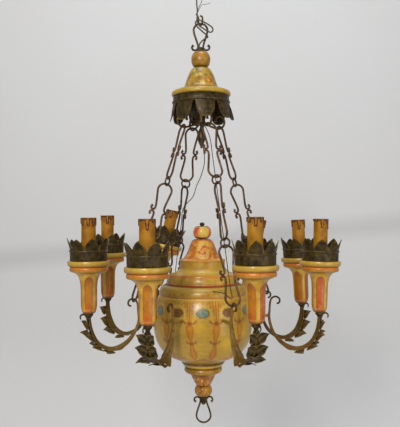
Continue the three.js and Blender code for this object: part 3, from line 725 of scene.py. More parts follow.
def ringAt(height):
    circle = arc(0, 0, ring["radius"], ring["radius"], 0, 360, 30)[:-1]
    vertices, faces = [], []
    for i, (x, z) in enumerate(circle):
        out = Vector((x, 0, z)).normalized()
        for j in range(9):
            angle = 2 * math.pi * j / 9
            fromWire = out * math.cos(angle) + Vector((0, math.sin(angle), 0))
            vertices.append(Vector((x, 0, z)) + fromWire * ring["wire"])
            follow, across = (i + 1) % 30, (j + 1) % 9
            faces.append((i * 9 + j, follow * 9 + j, follow * 9 + across, i * 9 + across))
    return lifted(moved((vertices, faces), spun(45)), 0, 0, height)


def chainPlace(armNumber):
    turn = spun(armTurn(armNumber))
    start = turn @ Vector((hook["circle"], 0, 0)) + Vector((0, 0, pivotHeight))
    return Matrix.Translation(start) @ turn @ Matrix.Rotation(-chainLean, 4, "Y")


chainArms = {1: 1, 2: 3, 3: 5, 4: 7}
plainLink = doubleLink()
middleLink = joined(
    plainLink, ringAt(ring["radius"] - ringWeld), ringAt(-linkPitch - ring["radius"] + ringWeld),
)
for chain, armNumber in chainArms.items():
    place, body = chainPlace(armNumber), f"chain_{chain}"
    for part, shape, turn, down in (
        ("top", plainLink, 90, 0), ("middle", middleLink, 0, 1), ("bottom", plainLink, 90, 2),
    ):
        makePiece(
            f"chain{chain}{part.title()}", shape, ironChain, body, [f"chain_{chain}_{part}_link"],
            place=place @ Matrix.Translation((0, 0, -down * chainStep)) @ spun(turn),
        )
print("chains made")

# Feed wires

feed = {"radius": 0.9, "side": -9, "shoulder": 87.5}


def chainPoint(armNumber, along):
    offset = link["wire"] + feed["radius"] + 0.3
    return chainPlace(armNumber) @ Vector((offset, -offset, -along))


def shoulderPoint(armNumber, distance, side):
    angle = math.radians(armTurn(armNumber) + side)
    return Vector((distance * math.cos(angle), distance * math.sin(angle), rimTop - 7))


def feedRoute(armNumber, lead, joins):
    run, along = [], joins
    while along < chainLength - 18:
        run.append(chainPoint(armNumber, along))
        along += 40
    side, shoulder = feed["side"], feed["shoulder"]
    return [
        *lead, *run, chainPoint(armNumber, chainLength - 14),
        shoulderPoint(armNumber, eyeCircle - 18, side * 0.55), shoulderPoint(armNumber, shoulder + 16, side),
        shoulderPoint(armNumber, shoulder - 5, side),
    ]


bossSide, bossLevel = hook["bossRadius"] + feed["radius"] + 0.3, hookBottom + hook["dip"]
frontSteps = [(bossSide, -5, 0), (26, -5, -8), (40, -4, -21)]
frontLead = [spun(armTurn(1)) @ Vector((x, y, bossLevel + z)) for x, y, z in frontSteps]
backSteps = [
    (-2, -bossSide, 0), (0, -19, -20), (4, -34, -60), (6, -48, -92), (0, -38, -116), (-12, 14, -140),
    (-21, 62, -162),
]
backLead = [Vector((x, y, bossLevel + z)) for x, y, z in backSteps]
for name, node, body, armNumber, lead, joins in (
    ("wireFront", "feed_wire_front", "chain_1", 1, frontLead, 40),
    ("wireBack", "feed_wire_back", "chain_3", 5, backLead, 190),
):
    line = flow(feedRoute(armNumber, lead, joins), 6)
    wirePiece = makePiece(name, tube(line, feed["radius"], 7), flexDark, None, [node])
    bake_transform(wirePiece)
print("wires made")

# Urn

urn = {
    "bay": 30, "shoulder": -23.5, "roundel": -51, "roundelWide": 13.2, "roundelHigh": 8.8, "arch": 17,
    "dropTop": -28, "dropEnd": -151, "lean": 5, "bars": [(-72, 13.5, 3.4, 4.6), (-113, 9.5, 2.6, 3)],
}
urnShoulder = curve([(80, 0), (86.5, -2.2), (92, -7.2), (94.8, -14), (95.3, -21.5)], 5)
urnBelly = curve([
    (94.6, -23), (97.6, -27), (101, -36), (104.6, -50), (106.7, -66), (107.2, -85), (106.2, -103),
    (101.6, -122), (94, -137), (84.5, -149),
], 7)
urnUnder = curve([(84.5, -149), (77, -154), (66.5, -159), (55, -164), (47, -169)], 5)
dropWidths = [
    (-151, 0.5), (-149, 2.5), (-144, 5.6), (-138, 7.6), (-130, 6.2), (-121, 3.6), (-115, 2.2), (-112, 2.6),
    (-106, 3.4), (-98, 4.8), (-90, 7), (-84, 8), (-78, 7), (-74, 4.6), (-71, 4.2), (-66, 4), (-58, 4.8),
    (-48, 6.6), (-38, 10.5), (-33, 13),
]


def candelabraDrop(aside, depth, shiver):
    if not urn["dropEnd"] < depth < urn["dropTop"]:
        return 0, 0
    width = between(dropWidths, depth)
    inside = 1 - edge(abs(aside) + 1.6 * shiver, width - 1.6, width + 1.6)
    line = 0.75 * inside * edge(abs(aside) + 1.6 * shiver, width - 3.6, width - 0.8)
    for level, reach, curl, knot in urn["bars"]:
        bar = 1 - edge(abs(depth - level - curl * (aside / reach) ** 2), 1.2, 2.5)
        line = max(line, bar * (1 - edge(abs(aside), reach - 1, reach + 1)))
        line = max(line, 1 - edge(math.hypot(aside, depth - level), knot - 1, knot + 1))
        line = max(line, 1 - edge(math.hypot(abs(aside) - reach, depth - level - curl - 1), 1.6, 3))
    if depth > -66:
        line = 0.8 * inside * edge(math.cos(aside * (1.5 - 0.016 * (depth + 62))), 0.0, 0.9)
        inside *= 0.45
    return inside, line


def paintUrn(x, y, z):
    depth = z - rimTop
    if depth > urn["shoulder"]:
        worn = edge(speckle(x, y, z, 9, 6), 0.05, 0.4) * (1 - edge(depth, -15, -9))
        return painted(
            mix(tone(186, 156, 76), tone(174, 142, 58), edge(depth, -20, -4)),
            (0.6 * worn, tone(178, 92, 44)), (0.65 * near(depth, -21, 1.5, 3.2), tone(188, 118, 62)),
            (0.6 * edge(depth, -2.5, -0.5), umber),
        )
    turn = math.degrees(math.atan2(y, x)) + 90
    radius = max(60, math.hypot(x, y))
    shiver = 0.9 * speckle(x, y, z, 6)
    toDrop = (turn % urn["bay"]) - urn["bay"] / 2
    toRound = (turn + urn["bay"] / 2) % urn["bay"] - urn["bay"] / 2
    isBlue = round(turn / urn["bay"]) % 2 == 0
    aside = math.radians(toDrop) * radius
    if turn**2 < urn["bay"] ** 2:
        aside += math.copysign(urn["lean"], turn) * edge(-depth, 60, 150)
    inside, line = candelabraDrop(aside, depth, shiver)
    across, up = math.radians(toRound) * radius, depth - urn["roundel"]
    size = math.hypot(across / urn["roundelWide"], up / urn["roundelHigh"]) + 0.05 * shiver
    arch = math.hypot(across, max(up, 0) * 1.15) / urn["arch"]
    rays = edge(math.cos(math.atan2(across, up) * 14), -0.2, 0.6) * edge(up, -2, 6)
    rays *= edge(arch, 1.06, 1.15) * (1 - edge(arch, 1.35, 1.7))
    colour = painted(
        mix(tone(190, 156, 62), tone(180, 148, 78), edge(speckle(x, y, z, 22), -0.3, 0.4)),
        (0.72 * inside, tone(190, 118, 32)), (0.8 * line, tone(132, 62, 14)),
        (0.6 * near(arch, 1, 0.03, 0.11) * (up > -12), tone(212, 184, 108)),
        (0.6 * rays, tone(168, 108, 30)),
        (0.9 * (1 - edge(size, 0.86, 1.0)), tone(84, 130, 184) if isBlue else tone(94, 46, 14)),
        (0.75 * near(size, 0.98, 0.04, 0.13), tone(78, 40, 12)),
    )
    if isBlue:
        swirl = math.cos(3 * math.atan2(up, across) + size * 9)
        colour = painted(
            colour, (0.7 * edge(swirl, 0.3, 0.9) * (1 - edge(size, 0.6, 0.8)), tone(156, 172, 140)),
            (0.6 * (1 - edge(size, 0.12, 0.3)), tone(60, 84, 66)),
        )
    else:
        colour = mix(colour, tone(150, 84, 40), 0.5 * near(size, 0.5, 0.1, 0.25))
    foot = 3 * cosOf(turn * 12)
    # The last coat darkens the underside as painted shade in the recess above the base
    return painted(
        colour, (0.7 * edge(depth, -27, -24.5), tone(196, 160, 84)),
        (0.6 * near(depth, foot - 152, 1.6, 4), tone(176, 96, 28)),
        (0.7 * (1 - edge(depth, -168, -160)), umber),
    )


urnInside = [(35, -157), (4.3, -157), (4.3, -169)]
urnWall = [(68, 0), (68, -14), (95, -78), (95, -102), (71, -148), *urnInside]
urnProfile = urnShoulder + urnBelly + urnUnder[1:] + urnWall[::-1]
turnWood("urnBody", "urn_body", "urn", urnProfile, rimTop, 384, paintUrn)
print("urn made")

# Lid, its ball and the knob

lid = {"facing": -84, "bay": 60, "scroll": 72}
lidBase = rimTop + 0.3
lidProfile = [
    (4.3, -3), (67.7, -3), (67.7, 0), (79, 0), (80, 0.8), (80, 2.4),
    *curve([(79, 3.4), (78.4, 9), (76.6, 15), (74.6, 19)], 3), (74.4, 20.6), (73, 21.4),
    *curve([(70, 21.8), (64, 23.2), (57.5, 26.5), (53.5, 30.5), (51, 33)], 4),
    (49.6, 34), (49.4, 36), (49, 49.5), (50.4, 50.2), (50.6, 52), (49.2, 53.2),
    *curve([
        (45, 53.7), (41, 56.4), (37.4, 61.5), (33.4, 68), (30.4, 75), (27.6, 82.5), (24.4, 90), (20.8, 95),
        (16.5, 97.6),
    ], 4),
    (4.3, 98),
]


def paintLid(x, y, z):
    height = z - lidBase
    colour = mix(tone(190, 156, 66), tone(176, 142, 72), edge(speckle(x, y, z, 18), -0.3, 0.4))
    if height < 22:
        return painted(
            colour, (0.85 * near(height, 1.6, 1.2, 2.6), tone(184, 70, 30)),
            (0.85 * near(height, 19.6, 1, 2.4), tone(206, 112, 62)),
            (0.5 * edge(speckle(x, y, 0, 14, 3), 0.2, 0.6), umber),
        )
    if height < 34:
        # The pale band on the ogee is a painted highlight
        return mix(colour, tone(202, 176, 108), 0.5 * near(height, 27, 2, 6))
    if height < 50:
        lively = edge(speckle(x, y, z, 10, 5), 0.0, 0.35)
        return mix(colour, tone(196, 116, 44), 0.65 * lively * edge(height, 36, 47))
    if height < 55:
        return mix(tone(208, 150, 84), colour, edge(speckle(x, y, z, 6, 1), 0.0, 0.5))
    turn = aroundFrom(x, y, lid["facing"])
    bay = round(turn / lid["bay"])
    turn -= bay * lid["bay"]
    aside, up = math.radians(turn) * math.hypot(x, y), height - lid["scroll"]
    swirl = math.cos(0.42 * math.hypot(aside, up) + 1.4 * math.atan2(up, aside))
    swirl += 0.9 * speckle(x, y, z, 5, 6)
    cloudy = (0.6 * edge(speckle(x, y, z, 8, 2), -0.1, 0.4), tone(214, 184, 122))
    if bay % 2 == 0:
        colour = painted(
            tone(206, 160, 96), cloudy, (0.8 * edge(swirl, 0.15, 0.75), tone(206, 92, 66)),
            (0.5 * edge(swirl, 0.85, 1.0), tone(140, 50, 28)),
        )
    else:
        colour = painted(tone(188, 108, 34), cloudy, (0.5 * edge(swirl, 0.5, 0.95), tone(168, 76, 22)))
    rib = 0.8 * near(abs(turn), lid["bay"] / 2, 2.5, 6)
    # The umber over the top of the lid is painted shade under the ball
    return painted(colour, (rib, tone(190, 150, 66)), (0.35 * edge(height, 91, 96), umber))


turnWood("lidUrn", "urn_lid", "urn", lidProfile, lidBase, 200, paintLid)


def paintLidBall(x, y, z):
    level = (z - lidBallBottom) / (lidBallTop - lidBallBottom)
    sector = (aroundFrom(x, y, -90) + 78) % 120
    seam = abs(sector - 30 + 6 * math.sin(level * 6)) + 16 * speckle(x, y, z, 7)
    # The dark ends of the ball are painted shade where it sits on the lid and under the knob
    return painted(
        mix(tone(206, 82, 58), tone(208, 184, 112), edge(seam, 20, 34)),
        (0.6 * edge(speckle(x, y, z, 4), 0.05, 0.35), tone(230, 176, 136)),
        (0.45 * edge(speckle(x, y, z, 3.5, 4), 0.3, 0.55) * edge(level, 0.55, 0.8), umber),
        (0.9 * max(1 - edge(level, 0.02, 0.16), edge(level, 0.9, 0.99)), tone(92, 74, 30)),
    )


lidBallSide = ballProfile(lidBallBottom, lidBallTop, 19.8, 10)
turnWood("ballLid", "lid_ball", "urn", lidBallSide, 0, 72, paintLidBall)

knobProfile = [(0.2, lidBallTop + 0.3), (4.6, lidBallTop + 0.3), (3.8, lidBallTop + 1.2)] + [
    (5.6 * cosOf(a), knobTop - 4.1 + 4 * sinOf(a)) for a in range(-48, 87, 9)
] + [(0.2, knobTop)]
rodInside = [
    (0.2, baseBallBottom - 0.3), (4, baseBallBottom - 0.3), (4, lidBallTop + 1), (0.2, lidBallTop + 1),
]
makePiece(
    "knobAndRod", joined(turned(knobProfile, 28), turned(rodInside, 16)), ironDark, "urn", ["tie_rod"],
)

# Base mouldings, their ball

baseSide = [
    (4.3, 0), (47, 0), (47.5, -1.2), (46.8, -2.6),
    *curve([(44.6, -3.8), (44.1, -6.2), (42.6, -8.6), (39.6, -10.4), (38.8, -11.8)], 3),
    *curve([(40, -13), (41.3, -16), (41, -20), (38.4, -23.4)], 3),
    *curve([(34, -24.8), (30.4, -25.8), (28.2, -26.4)], 3),
    *curve([(27.6, -27.6), (26.4, -31), (23.6, -37.5), (20.6, -43.5), (18, -48.4), (16.4, -51.4)], 4),
    (4.3, -52),
]


def paintBase(x, y, z):
    depth = z - baseTop
    if depth >= -27:
        # The umber along the top is a painted shadow under the urn's heel, and the two thin umber lines are
        # painted shade in the groove and under the second moulding
        return painted(
            mix(tone(176, 136, 48), tone(158, 118, 38), edge(speckle(x, y, z, 12), -0.3, 0.4)),
            (0.65 * near(depth, -6.4, 1.2, 3), tone(206, 180, 92)), (0.8 * edge(depth, -3.6, -2.2), umber),
            (0.75 * near(depth, -11.6, 0.7, 1.9), umber), (0.6 * near(depth, -25.4, 0.6, 1.8), umber),
        )
    leaves = math.cos(math.radians(6 * aroundFrom(x, y, -90)))
    tip = edge(leaves, -0.1 - (depth + 27) * 0.02, 0.5 - (depth + 27) * 0.04)
    return painted(
        mix(tone(166, 112, 32), tone(158, 78, 20), 0.85 * tip),
        (0.75 * edge(speckle(x, y, z, 5, 8), 0.12, 0.35), tone(224, 174, 124)),
        (0.7 * edge(speckle(x, y, z, 4.4, 5), 0.15, 0.4), tone(86, 40, 10)),
    )


turnWood("baseUrn", "urn_base", "urn", baseSide, baseTop, 120, paintBase)


def paintBaseBall(x, y, z):
    level = (z - baseBallBottom) / (baseBallTop - baseBallBottom)
    # The dark ends of the ball are painted shade under the base and over the pull's stud
    return painted(
        mix(tone(172, 124, 28), tone(142, 76, 18), edge(speckle(x, y, z, 8, 3), 0.0, 0.4)),
        (0.6 * edge(speckle(x, y, z, 4, 9), 0.25, 0.5), tone(206, 170, 96)),
        (0.85 * edge(abs(level - 0.5), 0.4, 0.5), tone(70, 44, 12)),
    )


baseBallSide = ballProfile(baseBallBottom, baseBallTop, 19, 10.5)
turnWood("ballBase", "base_ball", "urn", baseBallSide, 0, 72, paintBaseBall)
print("urn's base made")

# Arms

stem = {
    "top": 2.2, "inner": 3.4, "belly": 5, "outer": 4.2, "bottomBelowRim": 129, "bottomCircle": 207,
    "innerCircle": 146, "cupCircle": 252, "curlInner": 4.5, "curlOuter": 13, "curlFrom": 80,
    "curlOutwards": 4, "collar": 7, "eyeGap": 0.8,
}
stemRadii = [
    (0, stem["top"]), (0.42, stem["top"]), (0.6, stem["inner"]), (0.75, stem["belly"]), (1, stem["outer"]),
]
# Shares run from the eye to the cup; a pair is (share, length, width, curled)
leaf = {
    "sheet": 1.3, "start": 0.64, "end": 0.95, "cup": 0.3, "columns": 7,
    "blade": [
        (0.42, 2.2), (0.5, 2.9), (0.56, 3.9), (0.6, 5.2), (0.635, 6.8), (0.66, 8.6), (0.69, 10.6),
        (0.716, 13), (0.73, 10.8), (0.85, 11.5), (0.93, 8), (0.97, 4.4), (1, 4.2),
    ],
    "corner": 0.716, "cornerWide": 0.028, "cornerHangs": {1: 13, 8: 13},
    "pairs": [(0.752, 17, 23, 0.5), (0.8, 22, 28, 0.9), (0.85, 22, 28, 1), (0.902, 19, 22, 1)],
    "curls": {3: 0.46, 6: 0.46}, "usualCurl": 0.38,
}
lobe = {
    "steps": 12, "thick": 1.2, "dish": 0.16, "groove": 0.8, "bend": 4.5, "along": 0.6, "across": 0.78,
    "out": 0.04, "bendAlong": 0.12, "vary": 0.25,
    "outline": [(0, 0.85), (0.15, 1), (0.36, 0.98), (0.54, 0.84), (0.7, 0.62), (0.84, 0.36), (1, 0.04)],
}


def stemLine(number):
    curlTop = rimTop - eyeBelowRim + link["wire"] + stem["top"] + stem["eyeGap"]
    sweep = stem["curlFrom"] + 180
    onTop = stem["curlInner"] + (stem["curlOuter"] - stem["curlInner"]) * (stem["curlFrom"] + 90) / sweep
    bottom = rimTop - stem["bottomBelowRim"] + bendRises.get(number, 0)
    inner, cup = stem["innerCircle"], stem["cupCircle"]
    seat = cupBottom + rises.get(number, 0) - stem["collar"]
    curl = arc(
        eyeCircle + stem["curlOutwards"], curlTop - onTop, stem["curlInner"], stem["curlOuter"],
        -stem["curlFrom"], 180, 7,
    )
    return flow(upright([
        *curl, (inner + 1, curlTop - 30), (inner, curlTop - 45), (inner + 9, bottom + 32),
        (inner + 31, bottom + 9), (stem["bottomCircle"], bottom), (cup - 19, bottom + 13),
        (cup - 5, bottom + 38), (cup, seat - 8), (cup, seat),
    ]), 12)


# A pointed lobe: a dished blade on a spine that starts in the given direction and bends towards its tip
def leafLobe(root, start, bend, wideTo, out, length, width):
    rings, marks = [], []
    columns = [j / 3 for j in range(-3, 4)]
    for i in range(lobe["steps"] + 1):
        at = i / lobe["steps"]
        spine = root + (start * at + bend * at ** lobe["bend"]) * length
        heading = (start + bend * lobe["bend"] * at ** (lobe["bend"] - 1)).normalized()
        wide = (wideTo - heading * wideTo.dot(heading)).normalized()
        face = heading.cross(wide)
        face = face if face.dot(out) > 0 else -face
        half = width / 2 * between(lobe["outline"], at)
        high, low = [], []
        for v in columns:
            groove = lobe["groove"] * (1 - edge(abs(v), 0, 0.34)) * (1 - at)
            dish = lobe["dish"] * half * abs(v) ** 1.5 - groove
            thick = lobe["thick"] * (1 - 0.6 * abs(v)) * (1 - 0.4 * at)
            high.append(spine + wide * half * v + face * dish)
            low.append(spine + wide * half * v + face * (dish - thick))
        rings.append(high + low[::-1])
        marks += [(0.8, half * v, half, 1) for v in columns] + [
            (0.8, half * v, half, 0.6) for v in reversed(columns)
        ]
    return loft(rings), marks


# The stem broadens into a blade round the outside of the bend, with pairs of pointed lobes along it
def armShape(number):
    line = stemLine(number)
    stations = len(line) - 1
    rings, marks, shapes = [], [], []
    columns = leaf["columns"]

    def frameAt(i):
        along = (line[min(i + 1, stations)] - line[max(i - 1, 0)]).normalized()
        return line[i], along, Vector((along.z, 0, -along.x))

    for i in range(stations + 1):
        share = i / stations
        centre, along, out = frameAt(i)
        radius = between(stemRadii, share)
        half = max(radius, between(leaf["blade"], share))
        onLeaf = edge(share, leaf["start"] - 0.04, leaf["start"])
        onLeaf *= 1 - edge(share, leaf["end"] - 0.02, leaf["end"])
        hangs = leaf["cornerHangs"].get(number, 1) * near(share, leaf["corner"], 0, leaf["cornerWide"])
        low, high = [], []
        for j in range(-columns, columns + 1):
            across = half * j / columns
            body = math.sqrt(max(0.0, radius**2 - across**2))
            past = max(0.0, abs(across) - radius * 0.6)
            lift = past * leaf["cup"] * onLeaf + hangs * edge(abs(across) / half, 0.35, 1)
            thin = leaf["sheet"] * (0.5 if abs(j) == columns else 1)
            spot = centre + Vector((0, across, 0))
            high.append(spot + out * (max(body * 0.85, thin / 2) + lift))
            low.append(spot + out * (lift - max(body * 0.95, thin / 2)))
        rings.append(high + low[::-1])
        sides = [half * j / columns for j in range(-columns, columns + 1)]
        marks += [(share, side, half, 1) for side in sides] + [
            (share, side, half, 0) for side in reversed(sides)
        ]
    shapes.append(loft(rings))
    for pair, (share, length, width, curled) in enumerate(leaf["pairs"]):
        centre, along, out = frameAt(round(share * stations))
        root = centre + out * stem["belly"] * 0.75
        for side in (-1, 1):
            change = noise.noise(Vector((pair * 2.3, number * 4.7, side * 3.1)))
            across = Vector((0, side, 0))
            curl = leaf["curls"].get(number, leaf["usualCurl"]) * (1 + change) * curled
            start = along * lobe["along"] + across * lobe["across"] + out * lobe["out"]
            bend = out * curl + along * lobe["bendAlong"]
            long = length * (1 + lobe["vary"] * change)
            blade, bladeMarks = leafLobe(root + across * 3.5, start, bend, along, out, long, width)
            shapes.append(blade)
            marks += bladeMarks
    return joined(*shapes), marks


def tipShape(number):
    x, z = stem["cupCircle"] + stem["outer"], cupBottom + rises.get(number, 0) - stem["collar"]
    points = [
        (x - 5, z - 24), (x - 2.5, z - 12), (x, z - 2), (x + 4.5, z + 4.6), (x + 10.5, z + 5),
        (x + 14, z + 0.5), (x + 12.6, z - 4.5),
    ]
    return tube(flow(upright(points), 4), lambda share: 3 - 1.7 * share, 8)


nippleTop = cupTop + 2
collarProfile = [
    (0.2, cupBottom - 10), (4, cupBottom - 10), (5.6, cupBottom - 7.4), (8.2, cupBottom - 4.4),
    (8.6, cupBottom - 1.6), (7.4, cupBottom - 0.3), (5, cupBottom - 0.3), (5, nippleTop), (11.7, nippleTop),
    (11.7, nippleTop + 68), (11, nippleTop + 70), (0.2, nippleTop + 70),
]


def seatPlace(number):
    angle = math.radians(armTurn(number))
    lean = Matrix.Rotation(
        math.radians(leans.get(number, 0)), 4, Vector((math.sin(angle), math.cos(angle), 0)),
    )
    seat = Matrix.Translation((stem["cupCircle"], 0, cupBottom + rises.get(number, 0)))
    return seat @ lean @ Matrix.Translation((0, 0, -cupBottom))


# Where something stands on an arm's cup, turned to face a way as seen from above
def onCup(number, height, facing):
    turn = spun(armTurn(number))
    return turn @ seatPlace(number) @ Matrix.Translation((0, 0, height)) @ spun(facing - armTurn(number))


tailShape = moved(
    turned([(0.2, 87), (3, 87), (3, stem["innerCircle"]), (0.2, stem["innerCircle"])], 12), spun(90, "Y"),
)
tailShape = lifted(tailShape, 0, 0, rimTop - 66)
armTones = {
    "stem": {1: tone(134, 104, 38), 2: tone(138, 96, 32), 3: tone(124, 88, 30)}, "plain": tone(130, 100, 34),
    "shade": tone(80, 56, 18), "leaf": tone(32, 25, 4), "leafLit": tone(66, 52, 14),
    "rim": tone(146, 122, 60), "peg": tone(138, 106, 38),
}


def armColour(number, point, mark):
    share, across, half, outer = mark
    spots = speckle(*point, 8, number)
    stemTone = armTones["stem"].get(number, armTones["plain"])
    onLeaf = edge(share, 0.57, 0.68) * (0.5 + 0.5 * outer)
    rubbed = max(0.8 * near(across, 0, 0.8, 2.4), edge(abs(across) / half, 0.84, 1))
    return painted(
        stemTone, (0.45 * outer + 0.5 * edge(spots, -0.1, 0.5), armTones["shade"]),
        (onLeaf, mix(armTones["leaf"], armTones["leafLit"], edge(spots, -0.2, 0.4))),
        (0.4 * onLeaf * rubbed, armTones["rim"]), (0.7 * (1 - edge(share, 0.36, 0.46)), tone(40, 32, 16)),
    )


for number in range(1, 9):
    armSolid, marks = armShape(number)
    curled, column = tipShape(number), moved(turned(collarProfile, 28), seatPlace(number))
    others = joined(curled, column, tailShape)
    colours = [armColour(number, point, mark) for point, mark in zip(armSolid[0], marks)]
    colours += [armTones["leaf"]] * (len(curled[0]) + len(column[0])) + [armTones["peg"]] * len(tailShape[0])
    makePiece(
        f"arm{number}", joined(armSolid, others), ironLeaf, "urn", [f"arm_{number}"],
        colours=colours, place=spun(armTurn(number)), sharp=55,
    )
print("arms made")

# Cups

cupFacing = {1: -126, 2: -6, 3: -123, 4: -90, 5: -90, 6: -64, 7: -80, 8: -85}
cup = {
    "corner": 0.045, "hollow": 0.02, "segments": 96, "lip": -11, "stripe": -21.9, "panel": 27.5,
    "panelTop": -31, "panelEnd": -103.5, "arch": 13,
}
cupSide = [
    (4.6, 0), (41.2, 0), (42.6, -0.8), (43.1, -2.6), (43.1, -6.6), (42.3, -9.2), (40.4, -10.8), (38, -11.5),
    (37.2, -12.1),
] + [
    (37 + 2.1 * sinOf(a), -16.9 + 4.7 * cosOf(a)) for a in range(10, 171, 20)
] + curve([
    (36.4, -21.9), (32, -23.2), (27.2, -25.6), (23.2, -29.2), (20.4, -34), (18.7, -40), (17.6, -48),
    (17.1, -60), (16.9, -76), (16.5, -93), (15.4, -100), (13.4, -105), (11, -107.5),
], 5) + [(4.6, -107.5)]


def makeCupShape():
    vertices, faces = turned(cupSide, cup["segments"])
    shaped = []
    for x, y, z in vertices:
        on = edge(-z, 30, 48) * (1 - edge(-z, 101.5, 106.5)) * (math.hypot(x, y) > 8)
        turn = math.degrees(math.atan2(y, x)) % 90 - 45
        ribbed = 1 - edge(45 - abs(turn), 9, 15)
        scale = 1 + on * (cup["corner"] * ribbed - cup["hollow"] * (1 - ribbed))
        shaped.append(Vector((x * scale, y * scale, z)))
    return shaped, faces


cupShape = makeCupShape()


def cupPaint(number):
    def paint(x, y, z):
        ragged = speckle(x, y, z, 5, number * 3)
        if z > cup["lip"]:
            colour = mix(tone(192, 162, 90), tone(160, 124, 48), edge(-z, 5, 10))
            return mix(colour, tone(120, 84, 26), 0.4 * (1 - edge(-z, 0, 1.2)))
        if z > cup["stripe"]:
            # The light band across the torus is a painted highlight, and the umber line in the groove above
            # it is a painted shadow
            return painted(
                mix(tone(204, 116, 44), tone(176, 132, 50), edge(-z + 0.6 * ragged, 16, 17.6)),
                (0.5 * near(z + ragged, -14, 0.6, 1.8), tone(222, 150, 88)),
                (0.4 * near(z, -11.7, 0.3, 1), umber),
            )
        around = math.degrees(math.atan2(y, x))
        toMiddle = abs(around % 90 - 45)
        arched = math.sin(0.5 * math.pi * max(0.0, min(1.0, (cup["panelTop"] - z) / cup["arch"])))
        width = cup["panel"] * arched**0.75 + 1.4 * ragged
        onPanel = (1 - edge(toMiddle, width - 2.5, width + 2.5)) * (cup["panelEnd"] < z < cup["panelTop"])
        low = edge(-z, 70, 98)
        if int(around % 360 // 90) % 2 == 0:
            panel = painted(
                mix(tone(184, 120, 12), tone(190, 100, 16), low),
                (0.65 * (1 - edge(-z, 34, 50)), tone(128, 66, 12)),
                (0.5 * edge(ragged, 0.1, 0.5), tone(156, 84, 10)),
            )
        else:
            panel = painted(
                mix(tone(186, 96, 58), tone(176, 70, 32), low),
                (0.45 * edge(ragged, 0.1, 0.5), tone(206, 144, 92)),
                (0.5 * (1 - edge(-z, 34, 46)), tone(150, 58, 26)),
            )
        outline = near(toMiddle - width, 1, 1.2, 3.8) * (z < cup["panelTop"] + 2) * edge(-z, 28, 34)
        # The dark band just under the torus is a painted shadow
        return painted(
            mix(tone(204, 166, 84), tone(186, 146, 56), edge(speckle(x, y, z, 14, number), -0.3, 0.4)),
            (0.8 * near(z, -22.8, 0.5, 2.5), tone(132, 98, 28)), (onPanel, panel),
            (0.6 * outline, tone(128, 76, 22)), (0.7 * near(z, -100, 0.8, 2.2), tone(206, 140, 92)),
            (0.85 * edge(-z, 102, 105), tone(88, 50, 18)),
        )

    return paint


for number in range(1, 9):
    makePiece(
        f"cup{number}", cupShape, woodCup, "urn", [f"cup_{number}"], paint=cupPaint(number),
        place=onCup(number, cupTop, cupFacing[number] - 45),
    )
print("cups made")

# Crowns of sheet iron

crown = {"radius": 37.9, "band": 21.5, "petal": 22, "flare": 3.4, "petals": 8, "sheet": 1.2, "columns": 20}


def crownOutline(number):
    def outline(share):
        index, within = petalAt(share, crown["petals"])
        change = noise.noise(Vector((index * 3.7, number * 5.1, 0.5)))
        reach = petalShape(within, 2.2, 0.55) * (1 - 0.4 * abs(2 * within - 1))
        height = crown["petal"] * (1 + 0.22 * change) * reach
        flare = crown["flare"] * (1 + 1.6 * noise.noise(Vector((index * 2.3, number * 1.9, 4)))) * reach
        twist = 2.2 * change * (within - 0.5) * reach
        radius, sheet, top = crown["radius"], crown["sheet"], crown["band"]
        outer = [
            (5.3, 0), (radius - 1, 0), (radius, 0.8), (radius + 0.1, 3), (radius + 0.2, top - 4),
            (radius + 1.5, top - 3), (radius + 1.9, top - 1.6), (radius + 1.3, top - 0.4),
            (radius + 0.2, top + 0.6),
        ]
        leafSide = []
        for i in range(1, 9):
            up = i / 8
            dish = 1.8 * math.sin(math.pi * within) * math.sin(math.pi * up * 0.9)
            turnedOut = flare * up**2 + 1.4 * reach * up**5
            leafSide.append((radius + 0.2 + dish + twist * up + turnedOut, top + 1.5 + height * up))
        innerSide = [(r - sheet, h) for r, h in reversed(leafSide)]
        return outer + leafSide + innerSide + [(radius - sheet, top), (radius - sheet, sheet), (5.3, sheet)]

    return outline


crownBottom = cupTop + 0.3
for number in range(1, 9):
    shape = ringed(crown["petals"] * crown["columns"], crownOutline(number))
    makePiece(
        f"crown{number}", shape, ironDark, "urn", [f"crown_{number}"],
        place=onCup(number, crownBottom, cupFacing[number] + 11 * number), sharp=50,
    )
print("crowns made")

# Candle sleeves with painted drips

candle = {
    "radius": 14.7, "wall": 2.2, "height": 86, "segments": 96, "drip": 1.5, "drips": 8, "edgeDrip": 2.5,
    "dripReach": 11, "longer": 7,
}


# How far the wax reaches down at a turn; every third drip is longer
def dripDepth(turn, number):
    depth = candle["edgeDrip"]
    for i in range(candle["drips"]):
        middle = i * 360 / candle["drips"] + 20 * noise.noise(Vector((i * 1.7, number * 2.9, 8)))
        reach = candle["dripReach"] + 14 * noise.noise(Vector((i * 4.1, number * 3.3, 2)))
        reach += candle["longer"] if i % 3 == 0 else 0
        away = abs((turn - middle + 180) % 360 - 180)
        depth = max(depth, reach * (1 - edge(away, 7, 12)))
    return depth


def candleShape(number):
    top = candle["height"]
    rows = [0, 12, 24, 36, 46, 52, *range(56, 86)]
    inner = candle["radius"] - candle["wall"]
    profile = [(candle["radius"], height) for height in rows]
    profile += [(candle["radius"] - 0.3, top), (inner + 0.3, top), (inner, top - 1), (inner, 0)]
    vertices, faces = turned(profile, candle["segments"])
    shaped = []
    for x, y, z in vertices:
        radius = math.hypot(x, y)
        drip = dripDepth(math.degrees(math.atan2(y, x)), number)
        over = (1 - edge(candle["height"] - z, drip - 1, drip + 1)) * (radius > 14)
        scale = 1 + (candle["drip"] * over + 0.3 * speckle(x, y, z, 12, number)) / 15
        shaped.append(Vector((x * scale, y * scale, z)))
    return shaped, faces


